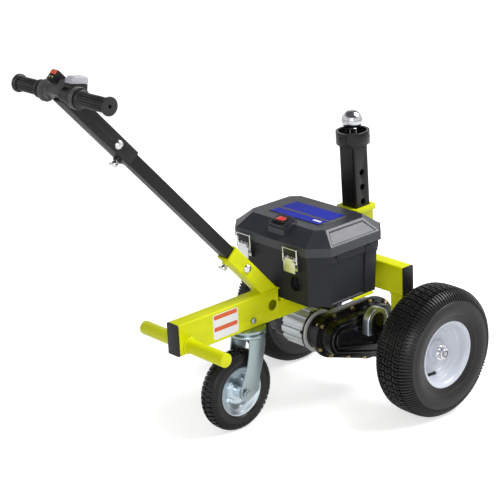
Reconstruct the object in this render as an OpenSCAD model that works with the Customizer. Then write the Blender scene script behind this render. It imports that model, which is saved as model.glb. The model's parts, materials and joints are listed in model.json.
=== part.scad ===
// Walk behind electric tug: two driven wheels, a caster, a hitch ball on a post and a long steering handle.
// Millimetres, +Z up. +X runs from the handle to the driven wheels, +Y to the left of the walking user.
// The chassis is drawn level and then pitched about the axle until both wheel sizes stand on Z = 0.

/* [Stance] */
// tyre radius of the driven wheels, 13 x 5.00-6
wheel_r = 165; // [150:1:180]
// distance from the middle plane to each driven wheel
track_half = 253; // [200:1:300]
// radius of the 8 inch caster tyre
caster_r = 101.6; // [75:0.1:125]
// pitch of the level-drawn chassis, its front end down
frame_pitch = 3.4; // [0:0.1:6]

/* [Frame] */
// width of the main beam and of the push socket on it
beam_w = 39; // [30:0.5:60]
// height of the main beam
beam_h = 78; // [50:0.5:100]
// height of the beam's underside above the axle
beam_rise = 110.7; // [80:0.1:150]
// wall of the frame's rectangular tubes
frame_wall = 3; // [2:0.5:5]
// distance from the axle to the beam's front end
beam_reach = 606; // [500:1:700]
// distance from the axle to the notch that seats the battery box
notch_reach = 295; // [250:1:320]
// diameter of the push bar at the front
push_d = 33.7; // [25:0.1:42]
// length of the push bar
push_len = 292; // [200:1:350]
// cross beam's size along the machine
cross_w = 36.5; // [30:0.5:60]
// cross beam's height
cross_h = 75; // [50:0.5:100]
// half the cross beam's length, without its caps
cross_half = 166; // [140:1:190]
// width of each axle leg along the axle
leg_w = 41; // [30:1:60]

/* [Hitch post] */
// lean of the hitch post towards the handle
post_lean = 2; // [0:0.1:5]
// outer size of the square receiver
receiver_w = 60; // [45:0.5:70]
// height of the receiver above the cross beam
receiver_h = 126; // [80:1:180]
// outer size of the square mast
mast_w = 50.8; // [40:0.1:60]
// length of the mast
mast_len = 283.5; // [200:0.5:350]
// radius of the pin holes in the mast
pin_hole_r = 8; // [6:0.5:10]
// spacing of the pin holes
pin_pitch = 38; // [30:1:50]
// outer radius of the collar on the mast
collar_r = 42; // [35:0.5:50]
// height of the collar
collar_h = 32; // [20:1:45]
// diameter of the hitch ball
ball_d = 50.8; // [47.6:0.1:58.8]

/* [Handle] */
// gap between the battery box's lid and the foot of the handle column
foot_gap = 20.9; // [5:0.1:60]
// angle of the handle column above the level chassis
handle_angle = 47.8; // [40:0.1:60]
// outer size of the square lower tube
lower_w = 30; // [25:0.5:40]
// outer size of the square upper tube
upper_w = 37.4; // [32:0.2:45]
// outer size of the square socket on the beam
socket_w = 38.4; // [34:0.2:48]
// length of the socket along the column
socket_len = 171; // [120:1:220]
// where the upper tube starts along the column
upper_start = 563; // [450:1:650]
// where the handlebar crosses the column
bar_station = 797; // [700:1:900]
// length over both grips
grip_span = 319; // [280:1:400]
// radius of the grips' end flanges
grip_r = 20; // [16:0.5:24]

/* [Battery box] */
// box lid, size along the machine
lid_x = 254; // [200:1:320]
// box lid, size across the machine
lid_y = 331; // [280:1:380]
// distance from the axle to the middle of the box
box_back = 171.4; // [150:0.1:200]
// height of the box body's floor above the axle
box_floor_rise = 161; // [140:0.5:200]
// height of the body from its floor to the lid's skirt
box_body_h = 130.5; // [100:0.5:180]
// height of the lid's upright skirt
skirt_h = 22; // [15:0.5:35]
// height of the lid's sloping shoulder
shoulder_h = 31; // [15:0.5:45]
// cut corner of the lid
lid_cut = 43; // [20:1:60]
// wall of the box and the lid
box_wall = 4; // [2.5:0.5:6]
// radius of the charging port's recess
port_r = 20; // [12:0.5:25]

/* [Drive] */
// radius of the motor housing
motor_r = 50; // [40:1:60]
// length of the motor housing
motor_len = 88; // [70:1:150]
// height of the gears' line above level, seen from the axle
gear_line = 9.3; // [0:0.1:20]
// gear module
gear_module = 2; // [1.5:0.5:3]
// teeth of the motor pinion
pinion_teeth = 16; // [12:1:20]
// teeth of the idler's large gear
idler_teeth = 46; // [40:1:50]
// teeth of the idler's small gear
idler_pinion_teeth = 20; // [16:1:24]
// teeth of the axle gear
axle_teeth = 60; // [54:1:64]
// radius of the axle shafts
shaft_r = 10; // [8:0.5:14]

/* [Wheels] */
// half the width of a drive tyre
tyre_half = 58.8; // [45:0.5:70]
// radius of the drive rim's flange
rim_r = 84.8; // [75:0.1:95]
// half the width of the drive rim
rim_half = 47.2; // [40:0.1:55]
// distance from the axle to the caster's swivel, along the level chassis
swivel_back = 380; // [340:1:420]
// half the width of the caster tyre
caster_half = 25; // [18:0.5:32]
// radius of the caster rim's flange
caster_rim_r = 62; // [50:0.5:75]
// distance the caster wheel trails its swivel
caster_trail = 46.5; // [30:0.1:60]

/* [Hidden] */
$fn = 48;
cut = 1;                 // overrun of every cut
slip = 0.3;              // gap between pieces that move past each other
run = 0.05;              // radial clearance of a shaft in its bore
seat = 0.05;             // gap of a round piece seated in a hole

// places on the level chassis
beam_z = wheel_r + beam_rise;
beam_top = beam_z + beam_h;
tray_t = 6;
floor_z = wheel_r + box_floor_rise;
spine_top = floor_z - tray_t;
cross_front = -15;
cross_x = cross_front + cross_w / 2;
cross_rise = 11;
cross_z = beam_z + cross_rise;
cross_top = cross_z + cross_h;
leg_in = cross_half - leg_w;
leg_foot = wheel_r;

throttle_case_r = 24;

// the machine stands centred on the origin in plan
tail_x = wheel_r;
foot_back_len = box_back + lid_x / 2 + foot_gap;
grip_x = -foot_back_len - bar_station * cos(handle_angle);
grip_z = beam_top + bar_station * sin(handle_angle);
nose_x = grip_x * cos(frame_pitch) - (grip_z - wheel_r) * sin(frame_pitch) - throttle_case_r;
shift_x = -(tail_x + nose_x) / 2;

// push bar
push_inset = 30;
push_up = 19;
push_x = -beam_reach + push_inset;
push_z = beam_z + push_up;

// end caps
cap_t = 4;
cap_plug = 12;
cap_rim = 0.5;

// side hole through the beam for the tie rod of a stowed strap
tie_r = 14;
tie_inset = 18.5;
tie_up = 40.5;
tie_x = -notch_reach - tie_inset;
tie_z = beam_z + tie_up;

// tray
tray_gap = 9;
tray_x0 = -notch_reach + tray_gap;
tray_bar_x = -139;
tray_bar_w = 66;
tray_half = 155;

// receiver and mast
lip_w = 73;
lip_corner = 8;
lip_h = 13;
mast_wall = 4;
mast_foot = 4;
mast_plate = 10;
low_pin_up = 139;
first_pin = low_pin_up - mast_foot;
pin_count = 3;
receiver_bore = mast_w + 2 * slip;
collar_wall = 7;
collar_floor = 8;
collar_screw_r = 4;
collar_screws = 3;
ball_neck_r = 13;
ball_base_r = 22;
ball_base_h = 9;
ball_flats = 6;
ball_shank_r = 9.5;
ball_shank = 26;
ball_nut_r = 16;
ball_nut_h = 10;
ball_rise = 26;

// handle
socket_bolt_at = 104;
socket_screw_at = 152;
lower_start = 14;
lower_end = 690;
lower_wall = 2.5;
upper_end = 762;
upper_bolt_at = 619;
upper_screw_at = 586;
dome_r = 11;
dome_h = 7;
dome_flats = 6;
bolt_r = 5;
boss_r = 10;
boss_h = 6;
screw_r = 5;
screw_out = 12;
tee_r = 3.5;
tee_len = 30;

// handlebar and its fittings
bar_r = 11;
bar_wall = 2;
grip_body_r = 16;
grip_flange = 5;
collar_ring_r = 20;
collar_ring_w = 7;
throttle_in = 61.5;
throttle_len = grip_span / 2 - throttle_in;
throttle_case_w = 22;
disc_ring_r = 24;
disc_ring_w = 5;
disc_ring_at = 54;
disc_gap = 15.5;
grip_len = grip_span / 2 - disc_ring_at - disc_ring_w - disc_gap - collar_ring_w;
head_out = 15;
head_in = 12;
head_low = 12;
head_top = 26;
head_right = -8;
head_left = 38;
cap_tilt = 10;
cap_x = 7.5;
cap_up = 11;
cap_right = -31.5;
cap_w = 23;
cap_len = 44;
cap_base_h = 13;
cap_h = 15;
cap_edge = 4;
pod_right = 16;
pod_w = 22;
pod_low = 12;
pod_top = 36;
pod_out = 31;
pod_in = 4;
button_w = 17;
button_n = 29.5;
button_tall = 9;
button_h = 9;
button_travel = 3;
button_corner = 1;

// battery box
lid_z = floor_z + box_body_h;
body_draft = 11;
band_h = 19;
band_out = 2;
rim_flare = 5;
box_cut = 38;
plate_x = 82;
plate_y = 126;
plate_cut = 20;
lid_gap = 0.6;
body_gap = 1;
foot_in = 3;
shoulder_in = 2;
panel_h = 1.5;
port_proud = 2;
port_wall = 2.5;
port_floor = 2;
port_pin_r = 2;
lug_w = 15;
lug_h = 9;
lug_out = 5;
port_y = -74.7;
port_z = 377;
port_depth = 16;
bezel_x = 34;
bezel_y = 44;
bezel_t = 8;
bezel_corner = 3;
switch_tilt = 18;
switch_x = -plate_x - 0.24 * bezel_x;
rocker_y = -8;
rocker_x = 26;
rocker_l = 36;
rocker_high = 10;
rocker_low = 5.5;
rocker_mid = 6.5;
rocker_axle_r = 1.5;
rocker_gap = 1;
battery_x = 160;
battery_y = 200;
battery_h = 112;
terminal_r = 7;
terminal_h = 8;

// latches
latch_w = 40;
latch_plate_t = 1.6;
latch_base_x = -5.4;
pad_depth = 6;
latch_base_z = 414;
latch_base_h = 38;
latch_pivot_z = 444;
latch_pin_drop = 8;
latch_out = 5.5;
latch_lever_t = 1.6;
latch_lever_h = 32;
lever_out = 1.5;
lever_in = 7;
lever_over = 3;
lever_wide_in = 1;
lever_wide_down = 4;
lever_ear_in = 8;
lever_ear_back = 3;
lever_ear_w = 5;
pin_in = 3;
plate_in = 4;
ear_in = 5;
ear_low = 2.5;
ear_over = 2;
ear_h = 8;
bail_foot = 13;
pad_in = 2;
latch_wire_r = 1.5;
bail_w = 46;
bail_top = 470;
latch_front_y = [87, -75];
ear_t = 1.6;
lever_pin_r = 1.2;

// drive
pinion_r = gear_module * pinion_teeth / 2;
idler_r = gear_module * idler_teeth / 2;
idler_pinion_r = gear_module * idler_pinion_teeth / 2;
axle_gear_r = gear_module * axle_teeth / 2;
idler_reach = axle_gear_r + idler_pinion_r;
motor_reach = idler_reach + idler_r + pinion_r;
idler_x = -idler_reach * cos(gear_line);
idler_z = wheel_r + idler_reach * sin(gear_line);
motor_x = -motor_reach * cos(gear_line);
motor_z = wheel_r + motor_reach * sin(gear_line);
case_r1 = 45;
case_r2 = 70;
case_wall = 5;
flank_share = 0.99;
case_flange = 12;
case_flange_t = 5;
split_y = -40;
case_back_y = 0;
cover_y = -78;
adapter_r = 46;
adapter_t = 8;
motor_ring_r = 56;
motor_ring_t = 8;
motor_wall = 5;
motor_fins = 12;
fin_h = 3.5;
fin_w = 18;
end_cover_r = 47;
end_cover_len = 30;
brake_r = 41;
brake_len = 24;
tube_r = 24;
tube_wall = 4;
tube_flange_r = 34;
tube_flange_t = 8;
case_bolt_r = 3;
case_bolt_head_r = 5.6;
case_bolt_head_h = 5;
case_bolt_flats = 6;
rotor_r = 34;
rotor_len = 56;
rotor_gap = 3;
rotor_shaft_r = 7;
gear_t = 9;
stage1_y = -20;
stage2_y = -52;
idler_shaft_r = 8;
tooth_out = 0.85;
tooth_in = 1.2;
tooth_thin = 0.82;
tooth_root_share = 1.45;
tooth_tip_share = 0.5;
blind_wall = 1;
cover_in = 2;
cover_raise = 4;
hub_sink = 1;
carrier_r = 27;
carrier_len = 34;
arm_x = -45;
arm_up = 50;
arm_z = wheel_r + arm_up;
arm_bore_r = 22;
arm_r = 14;
arm_t = 22;
arm_reach = 34;
arm_foot = 30;

// wheels
hub_r = 26;
hub_bore_r = shaft_r + seat;
hub_out = 24;
hub_in = 30;
hub_lap = 4;
hub_proud = 2;
dish_step = 6;
tyre_shift = 1;
tyre_lap = 18;
bead_h = 6;
rim_wall = 3;
dish_r = 58;
dish_out = 12;
bead_r = 76;
shaft_nut_r = 15;
shaft_nut_h = 10;
nut_flats = 6;
shaft_proud = 16;
shaft_end = track_half + hub_out + shaft_proud;

// caster
caster_axle_x = -swivel_back - caster_trail;
caster_axle_z = wheel_r + (caster_r - wheel_r - caster_axle_x * sin(frame_pitch)) / cos(frame_pitch);
caster_plate_t = 5;
caster_top_r = 44;
spigot_r = 14;
spigot_h = 36;
cross_bolt_up = 21;
cross_bolt_r = 4;
cross_bolt_head_r = 7.5;
cross_bolt_head_h = 5.5;
caster_disc_r = 43;
race_h = 12;
king_r = 9;
king_head_r = 15;
king_head_h = 7;
fork_half = 35;
fork_t = 4.5;
fork_w = 46;
fork_crown_t = 5;
caster_hub_r = 17;
caster_bolt_r = 6;
caster_bead_r = 55;
caster_web_t = 3;
caster_bolt_head_r = 11;
caster_bolt_head_h = 7;
race_in = 5;
caster_step = 2;
caster_lap = 5;

// places

// level chassis, pitched about the axle and centred on the origin in plan
module chassis() {
  translate([shift_x, 0, wheel_r]) rotate([0, -frame_pitch, 0]) translate([0, 0, -wheel_r]) children();
}

// handle column: +Z runs up the column from its foot, +X is its upper side
module column() {
  chassis() translate([-foot_back_len, 0, beam_top]) rotate([0, handle_angle - 90, 0]) children();
}

// hitch post: +Z runs up the post from the top of the cross beam
module post() {
  chassis() translate([cross_x, 0, cross_top]) rotate([0, -post_lean, 0]) children();
}

// box lid's centre at the height of the skirt's lower edge
module box_at(z) {
  chassis() translate([-box_back, 0, z]) children();
}

// a place on an axis that runs out to one side: side is 1 for left and -1 for right
module sideways(x, z, side) {
  chassis() translate([x, 0, z]) rotate([-90 * side, 0, 0]) children();
}

// unit pieces

// rectangle with round corners, drawn as squares and circles
module round_rect(x, y, r) {
  square([x - 2 * r, y], center = true);
  square([x, y - 2 * r], center = true);
  for (sx = [-1, 1], sy = [-1, 1])
    translate([sx * (x / 2 - r), sy * (y / 2 - r)]) circle(r = r, $fn = 32);
}

// square or rectangular tube along Z
module box_tube(x, y, wall, len) {
  linear_extrude(len) difference() {
    round_rect(x, y, 1.3 * wall);
    round_rect(x - 2 * wall, y - 2 * wall, 0.4 * wall);
  }
}

// ring along Z from z0 to z1
module ring(r_out, r_in, z0, z1) {
  translate([0, 0, z0]) difference() {
    cylinder(r = r_out, h = z1 - z0);
    translate([0, 0, -cut]) cylinder(r = r_in, h = z1 - z0 + 2 * cut);
  }
}

// rod along Y through the point
module rod_y(r, len) {
  rotate([90, 0, 0]) cylinder(r = r, h = len, center = true);
}

// octagon: a rectangle with its corners cut
function cut_rect(x, y, c) = [
  [-x / 2 + c, -y / 2], [x / 2 - c, -y / 2], [x / 2, -y / 2 + c], [x / 2, y / 2 - c],
  [x / 2 - c, y / 2], [-x / 2 + c, y / 2], [-x / 2, y / 2 - c], [-x / 2, -y / 2 + c]
];

// solid between two octagons of eight points each
module frustum(low, high, z0, z1) {
  points = concat([for (p = low) [p[0], p[1], z0]], [for (p = high) [p[0], p[1], z1]]);
  sides = [for (i = [0:7]) [i, i + 8, (i + 1) % 8 + 8, (i + 1) % 8]];
  polyhedron(points = points, faces = concat([[0, 1, 2, 3, 4, 5, 6, 7]], sides,
    [[15, 14, 13, 12, 11, 10, 9, 8]]));
}

// two circles and the straight flanks between them, seen along the axle: the first radius is at the motor
module belt_shape(r1, r2) {
  d = motor_reach;
  lean = asin((r2 - r1) / d);
  up = flank_share * [sin(lean), cos(lean)];
  down = flank_share * [sin(lean), -cos(lean)];
  circle(r = r2, $fn = 96);
  translate([d, 0]) circle(r = r1, $fn = 96);
  polygon([r2 * up, [d, 0] + r1 * up, [d, 0] + r1 * down, r2 * down]);
}

// the belt shape stood on the axle, its thickness from y0 to y1
module case_slab(r1, r2, y0, y1) {
  chassis() translate([0, y1, wheel_r]) rotate([90, 0, 0]) linear_extrude(y1 - y0)
    rotate(180 - gear_line) belt_shape(r1, r2);
}

// gear wheel along Z, one tooth on its +X side when phase is zero
module gear(teeth, thick, bore, phase) {
  r = gear_module * teeth / 2;
  pitch_a = 360 / teeth;
  half_a = tooth_thin * pitch_a / 4;
  root = r - tooth_in * gear_module;
  tip = r + tooth_out * gear_module;
  linear_extrude(thick) difference() {
    polygon([for (i = [0:teeth - 1]) for (p = [[root, -tooth_root_share], [r, -1], [tip,
      -tooth_tip_share],
      [tip, tooth_tip_share], [r, 1], [root, tooth_root_share]])
      p[0] * [cos(i * pitch_a + phase + p[1] * half_a), sin(i * pitch_a + phase + p[1] * half_a)]]);
    circle(r = bore);
  }
}

// domed hexagon bolt head along Z, seated at zero
module domed_head(r, h) {
  cylinder(r = r, h = 0.55 * h, $fn = dome_flats);
  translate([0, 0, 0.55 * h]) cylinder(r1 = 0.86 * r, r2 = 0.4 * r, h = 0.45 * h, $fn = 24);
}

// frame

module main_beam() {
  inner_w = beam_w - 2 * frame_wall;
  color("#d6de10") chassis() difference() {
    union() {
      translate([-notch_reach, 0, beam_z + beam_h / 2]) rotate([0, -90, 0])
        box_tube(beam_h, beam_w, frame_wall, beam_reach - notch_reach);
      // the low channel that runs on under the box to the cross beam
      difference() {
        translate([-notch_reach - cut, -beam_w / 2, beam_z])
          cube([notch_reach + cut + cross_front, beam_w, spine_top - beam_z]);
        translate([-notch_reach - 2 * cut, -inner_w / 2, beam_z + frame_wall])
          cube([notch_reach + 4 * cut + cross_front, inner_w, beam_h]);
      }
      // plate that closes the tall beam above the notch
      translate([-notch_reach - frame_wall, -beam_w / 2 + frame_wall / 2, spine_top])
        cube([frame_wall, beam_w - frame_wall, beam_top - spine_top]);
    }
    translate([tie_x, 0, tie_z]) rod_y(tie_r, beam_w + 2 * cut);
    translate([push_x, 0, push_z]) rod_y(push_d / 2 + seat, beam_w + 2 * cut);
    translate([-swivel_back, 0, beam_z - cut]) cylinder(r = spigot_r + seat, h = frame_wall + 2 * cut);
    translate([-swivel_back, 0, beam_z + cross_bolt_up]) rod_y(cross_bolt_r + seat, beam_w + 2 * cut);
  }
}

module end_caps() {
  color("#17181a") chassis() {
    translate([-beam_reach, 0, beam_z + beam_h / 2]) rotate([0, -90, 0]) {
      linear_extrude(cap_t) round_rect(beam_h, beam_w, 2 * cap_rim + frame_wall);
      translate([0, 0, -cap_plug]) linear_extrude(cap_plug)
        round_rect(beam_h - 2 * frame_wall - 2 * seat, beam_w - 2 * frame_wall - 2 * seat, frame_wall);
    }
    for (side = [-1, 1]) translate([cross_x, side * cross_half, cross_z + cross_h / 2])
      rotate([-90 * side, 0, 0]) {
        linear_extrude(cap_t) round_rect(cross_w, cross_h, 2 * cap_rim + frame_wall);
        translate([0, 0, -cap_plug]) linear_extrude(cap_plug)
          round_rect(cross_w - 2 * frame_wall - 2 * seat, cross_h - 2 * frame_wall - 2 * seat,
            frame_wall);
      }
  }
}

module push_bar() {
  color("#d6de10") chassis() translate([push_x, 0, push_z]) rotate([90, 0, 0]) difference() {
    cylinder(r = push_d / 2, h = push_len, center = true);
    cylinder(r = push_d / 2 - frame_wall, h = push_len - 2 * frame_wall, center = true);
  }
}

module cross_beam() {
  color("#d6de10") chassis() translate([cross_x, cross_half, cross_z + cross_h / 2]) rotate([90, 0, 0])
    box_tube(cross_w, cross_h, frame_wall, 2 * cross_half);
}

module axle_legs() {
  color("#d6de10") chassis() for (side = [-1, 1]) difference() {
    translate([cross_x, side * (leg_in + leg_w / 2), leg_foot])
      box_tube(cross_w, leg_w, frame_wall, cross_z - leg_foot);
    translate([0, side * leg_in, wheel_r]) rod_y(tube_r + seat, 4 * leg_w);
  }
}

module mast_receiver() {
  color("#d6de10") post() {
    difference() {
      union() {
        translate([0, 0, receiver_h - lip_h]) linear_extrude(lip_h) round_rect(lip_w, lip_w, lip_corner);
        linear_extrude(receiver_h) round_rect(receiver_w, receiver_w, frame_wall);
      }
      translate([0, 0, -cut]) linear_extrude(receiver_h + 2 * cut)
        round_rect(receiver_bore, receiver_bore, frame_wall / 2);
      translate([0, 0, -beam_h]) rotate([0, post_lean, 0])
        translate([-beam_h, -beam_h, 0]) cube([2 * beam_h, 2 * beam_h, beam_h]);
    }
  }
}

module battery_tray() {
  color("#d6de10") chassis() {
    translate([tray_x0, -beam_w / 2, spine_top]) cube([cross_front - tray_x0 - slip, beam_w, tray_t]);
    translate([tray_bar_x - tray_bar_w / 2, -tray_half, spine_top])
      cube([tray_bar_w, 2 * tray_half, tray_t]);
  }
}

// handle

module handle_socket() {
  color("#d6de10") {
    column() difference() {
      union() {
        difference() {
          translate([0, 0, -socket_w]) linear_extrude(socket_w + socket_len)
            round_rect(socket_w, socket_w, frame_wall);
          translate([0, 0, -socket_w - cut]) linear_extrude(socket_w + socket_len + 2 * cut)
            round_rect(lower_w + 2 * slip, lower_w + 2 * slip, frame_wall / 2);
        }
        translate([-socket_w / 2 + frame_wall / 2, 0, socket_screw_at]) rotate([0, -90, 0])
          cylinder(r = boss_r, h = boss_h + frame_wall / 2);
      }
      // the foot is cut along the top of the beam
      rotate([0, 90 - handle_angle, 0]) translate([-2 * socket_w, -socket_w, -3 * socket_w])
        cube([4 * socket_w, 2 * socket_w, 3 * socket_w]);
      translate([0, 0, socket_screw_at]) rotate([0, -90, 0])
        cylinder(r = screw_r + run, h = 2 * socket_w);
      translate([0, 0, socket_screw_at])
        cube([lower_w + 2 * slip, lower_w + 2 * slip, 3 * boss_r], center = true);
      translate([0, 0, socket_bolt_at]) rotate([90, 0, 0]) cylinder(r = bolt_r + seat, h = socket_w);
    }
  }
}

// bolt that bears on the tube inside: its head is outside on the right-hand wall
module side_bolt(wide, inner, at) {
  translate([0, -wide / 2, at]) rotate([90, 0, 0]) domed_head(dome_r, dome_h);
  translate([0, -inner / 2 - slip / 2, at]) rotate([90, 0, 0])
    cylinder(r = bolt_r, h = (wide - inner) / 2 - slip / 2);
}

module socket_bolt() {
  color("#c9cccf") column() side_bolt(socket_w, lower_w, socket_bolt_at);
}

// clamping screw with a cross handle, on the underside of the column
module tee_screw(wide, inner, at, boss) {
  reach = (wide - inner) / 2 + boss + screw_out;
  translate([-inner / 2 - slip / 2, 0, at]) rotate([0, -90, 0]) {
    cylinder(r = screw_r, h = reach);
    translate([0, 0, reach - tee_r]) rotate([90, 0, 0]) cylinder(r = tee_r, h = tee_len, center = true);
    translate([0, 0, reach - 2.2 * tee_r]) cylinder(r = 1.5 * screw_r, h = 2.6 * tee_r);
  }
}

module socket_screw() {
  color("#b9bcc0") column() tee_screw(socket_w, lower_w, socket_screw_at, boss_h);
}

module lower_tube() {
  color("#1a1b1d") column() translate([0, 0, lower_start])
    box_tube(lower_w, lower_w, lower_wall, lower_end - lower_start);
}

module upper_tube() {
  color("#1a1b1d") column() difference() {
    union() {
      translate([0, 0, upper_start]) linear_extrude(bar_station - upper_start)
        round_rect(upper_w, upper_w, frame_wall);
      translate([-upper_w / 2 + frame_wall / 2, 0, upper_screw_at]) rotate([0, -90, 0])
        cylinder(r = boss_r, h = boss_h + frame_wall / 2);
    }
    translate([0, 0, upper_start - cut]) linear_extrude(upper_end - upper_start - frame_wall)
      round_rect(lower_w + 2 * slip, lower_w + 2 * slip, frame_wall / 2);
    translate([0, 0, bar_station]) rod_y(bar_r + seat, 2 * upper_w);
    translate([0, 0, upper_screw_at]) rotate([0, -90, 0]) cylinder(r = screw_r + run, h = 2 * upper_w);
    translate([0, 0, upper_bolt_at]) rotate([90, 0, 0]) cylinder(r = bolt_r + seat, h = upper_w);
  }
}

module upper_bolt() {
  color("#c9cccf") column() side_bolt(upper_w, lower_w, upper_bolt_at);
}

module upper_screw() {
  color("#b9bcc0") column() tee_screw(upper_w, lower_w, upper_screw_at, boss_h);
}

// the handlebar's own frame: +Z towards the left grip, +X the column's upper side
module bar_frame() {
  column() translate([0, 0, bar_station]) rotate([-90, 0, 0]) children();
}

// space that the upper tube takes, in the handlebar's frame
module tube_room() {
  translate([-upper_w / 2 - slip, -slip, -upper_w / 2 - slip])
    cube([upper_w + 2 * slip, 2 * upper_w, upper_w + 2 * slip]);
}

module handlebar() {
  len = grip_span - 2 * grip_flange;
  color("#1a1b1d") bar_frame() ring(bar_r, bar_r - bar_wall, -len / 2, len / 2);
}

module left_grip() {
  color("#1b1b1d") bar_frame() {
    z1 = grip_span / 2;
    z0 = z1 - grip_len;
    ring(grip_body_r, bar_r + seat, z0, z1 - grip_flange);
    ring(grip_r, bar_r + seat, z1 - grip_flange, z1 - 0.5 * grip_flange);
    ring(grip_r, 0.2 * grip_r, z1 - 0.5 * grip_flange, z1);
    ring(collar_ring_r, bar_r + seat, z0 - collar_ring_w, z0);
  }
}

module throttle_grip() {
  color("#1b1b1d") bar_frame() {
    z1 = -grip_span / 2;
    z0 = z1 + throttle_len;
    ring(grip_body_r, bar_r + run, z1 + grip_flange, z0 - collar_ring_w);
    ring(grip_r, bar_r + run, z1 + 0.5 * grip_flange - slip, z1 + grip_flange);
    ring(grip_r, 0.2 * grip_r, z1, z1 + 0.5 * grip_flange - slip);
    ring(collar_ring_r, bar_r + run, z0 - collar_ring_w, z0);
  }
}

// frame of the cap and its base: +X along the cap to its rear, -Y up through it
module cap_frame() {
  bar_frame() translate([cap_x, -cap_up, cap_right])
    rotate([0, 0, 90 - handle_angle + cap_tilt]) children();
}

module throttle_case() {
  z0 = -grip_span / 2 + throttle_len + slip;
  color("#1d1e20") difference() {
    union() {
      bar_frame() {
        cylinder_from(throttle_case_r, z0, z0 + throttle_case_w);
        cylinder_from(0.75 * throttle_case_r, z0 + cut, cap_right + cap_w - cut);
      }
      cap_frame() translate([0, -cap_base_h, 0]) cube([cap_len, cap_base_h, cap_w]);
    }
    bar_frame() cylinder_from(bar_r + seat, 2 * z0, -z0);
    // room for the upper tube
    bar_frame() tube_room();
  }
}

// plain cylinder along Z between two heights
module cylinder_from(r, z0, z1) {
  translate([0, 0, z0]) cylinder(r = r, h = z1 - z0);
}

// flat faced control head on the bar, and the disc ring beside it
module control_head() {
  color("#232427") bar_frame() {
    ring(disc_ring_r, bar_r + seat, disc_ring_at, disc_ring_at + disc_ring_w);
    ring(0.7 * disc_ring_r, bar_r + seat, head_left, disc_ring_at);
    difference() {
      translate([0, 0, head_right]) linear_extrude(head_left - head_right) polygon([
        [-head_low, head_in], [-head_low, -head_out], [head_top, -head_out], [head_top, 0.1 * head_in],
          [0.6 * head_top, head_in]
      ]);
      translate([0, 0, head_right - cut]) cylinder(r = bar_r + seat,
        h = head_left - head_right + 2 * cut);
      // room for the upper tube and for the throttle case
      tube_room();
      cylinder_from(0.75 * throttle_case_r + slip, 2 * cap_right, cap_right + cap_w + slip);
    }
  }
}

module display_cap() {
  color("#c9ccd2") cap_frame() translate([0, -cap_base_h - seat, 0]) linear_extrude(cap_w) polygon([
    [0, 0], [cap_len, 0], [cap_len, -0.7 * cap_h], [cap_len - cap_edge, -cap_h], [2 * cap_edge, -cap_h],
      [0, -0.6 * cap_h]
  ]);
}

module switch_pod() {
  top = head_top + seat;
  out = head_out + seat;
  color("#202124") bar_frame() difference() {
    translate([0, 0, pod_right]) linear_extrude(pod_w)
      polygon([[pod_low, -out], [pod_low, -pod_out], [pod_top, -pod_out], [pod_top, -pod_in], [top,
        -pod_in], [top, -out]]);
    translate([button_n, 0, pod_right + pod_w / 2]) rotate([90, 0, 0])
      translate([0, 0, pod_out - button_h + button_travel - 2 * cut])
      linear_extrude(2 * button_h) round_rect(button_tall + 2 * slip, button_w + 2 * slip,
        2 * slip + button_corner);
  }
}

module stop_button() {
  color("#e8452f") bar_frame() translate([button_n, 0, pod_right + pod_w / 2]) rotate([90, 0, 0])
    translate([0, 0, pod_out - button_h + 2 * button_travel - cut / 2])
      linear_extrude(button_h - button_travel)
      round_rect(button_tall, button_w, button_corner);
}

// hitch post

module mast() {
  color("#1a1b1d") post() difference() {
    union() {
      translate([0, 0, mast_foot]) box_tube(mast_w, mast_w, mast_wall, mast_len - mast_plate);
      translate([0, 0, mast_foot + mast_len - mast_plate]) linear_extrude(mast_plate)
        round_rect(mast_w, mast_w, mast_wall);
    }
    for (i = [-1:pin_count - 1]) translate([0, 0, mast_foot + first_pin + i * pin_pitch])
      rod_y(pin_hole_r, 2 * mast_w);
    cylinder(r = ball_shank_r + seat, h = 2 * mast_len);
  }
}

module mast_collar() {
  top = mast_foot + mast_len;
  color("#151617") post() difference() {
    translate([0, 0, top]) cylinder(r = collar_r, h = collar_h);
    translate([0, 0, top + collar_floor]) cylinder(r = collar_r - collar_wall, h = collar_h);
    translate([0, 0, top - cut]) cylinder(r = ball_shank_r + seat, h = collar_h);
    for (i = [0:collar_screws - 1]) rotate(i * 360 / collar_screws + 60)
      translate([collar_r - 2 * collar_wall, 0, top + 0.6 * collar_h]) rotate([0, 90, 0])
        cylinder(r = collar_screw_r, h = 3 * collar_wall);
  }
}

module hitch_ball() {
  top = mast_foot + mast_len + collar_floor;
  ball_z = mast_foot + mast_len + collar_h + ball_rise;
  color("#e2e4e6") post() {
    translate([0, 0, top - ball_shank]) cylinder(r = ball_shank_r, h = ball_shank);
    translate([0, 0, top]) cylinder(r = ball_base_r, h = ball_base_h, $fn = ball_flats);
    translate([0, 0, top + ball_base_h]) cylinder(r = ball_neck_r, h = ball_z - top - ball_base_h);
    intersection() {
      translate([0, 0, ball_z]) sphere(d = ball_d, $fn = 64);
      translate([0, 0, ball_z - ball_d]) cylinder(r = ball_d, h = 1.46 * ball_d);
    }
  }
}

module ball_nut() {
  under = mast_foot + mast_len - mast_plate;
  color("#c9cccf") post() translate([0, 0, under - ball_nut_h]) difference() {
    cylinder(r = ball_nut_r, h = ball_nut_h, $fn = nut_flats);
    translate([0, 0, -cut]) cylinder(r = ball_shank_r + seat, h = ball_nut_h + 2 * cut);
  }
}

// battery box

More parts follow.
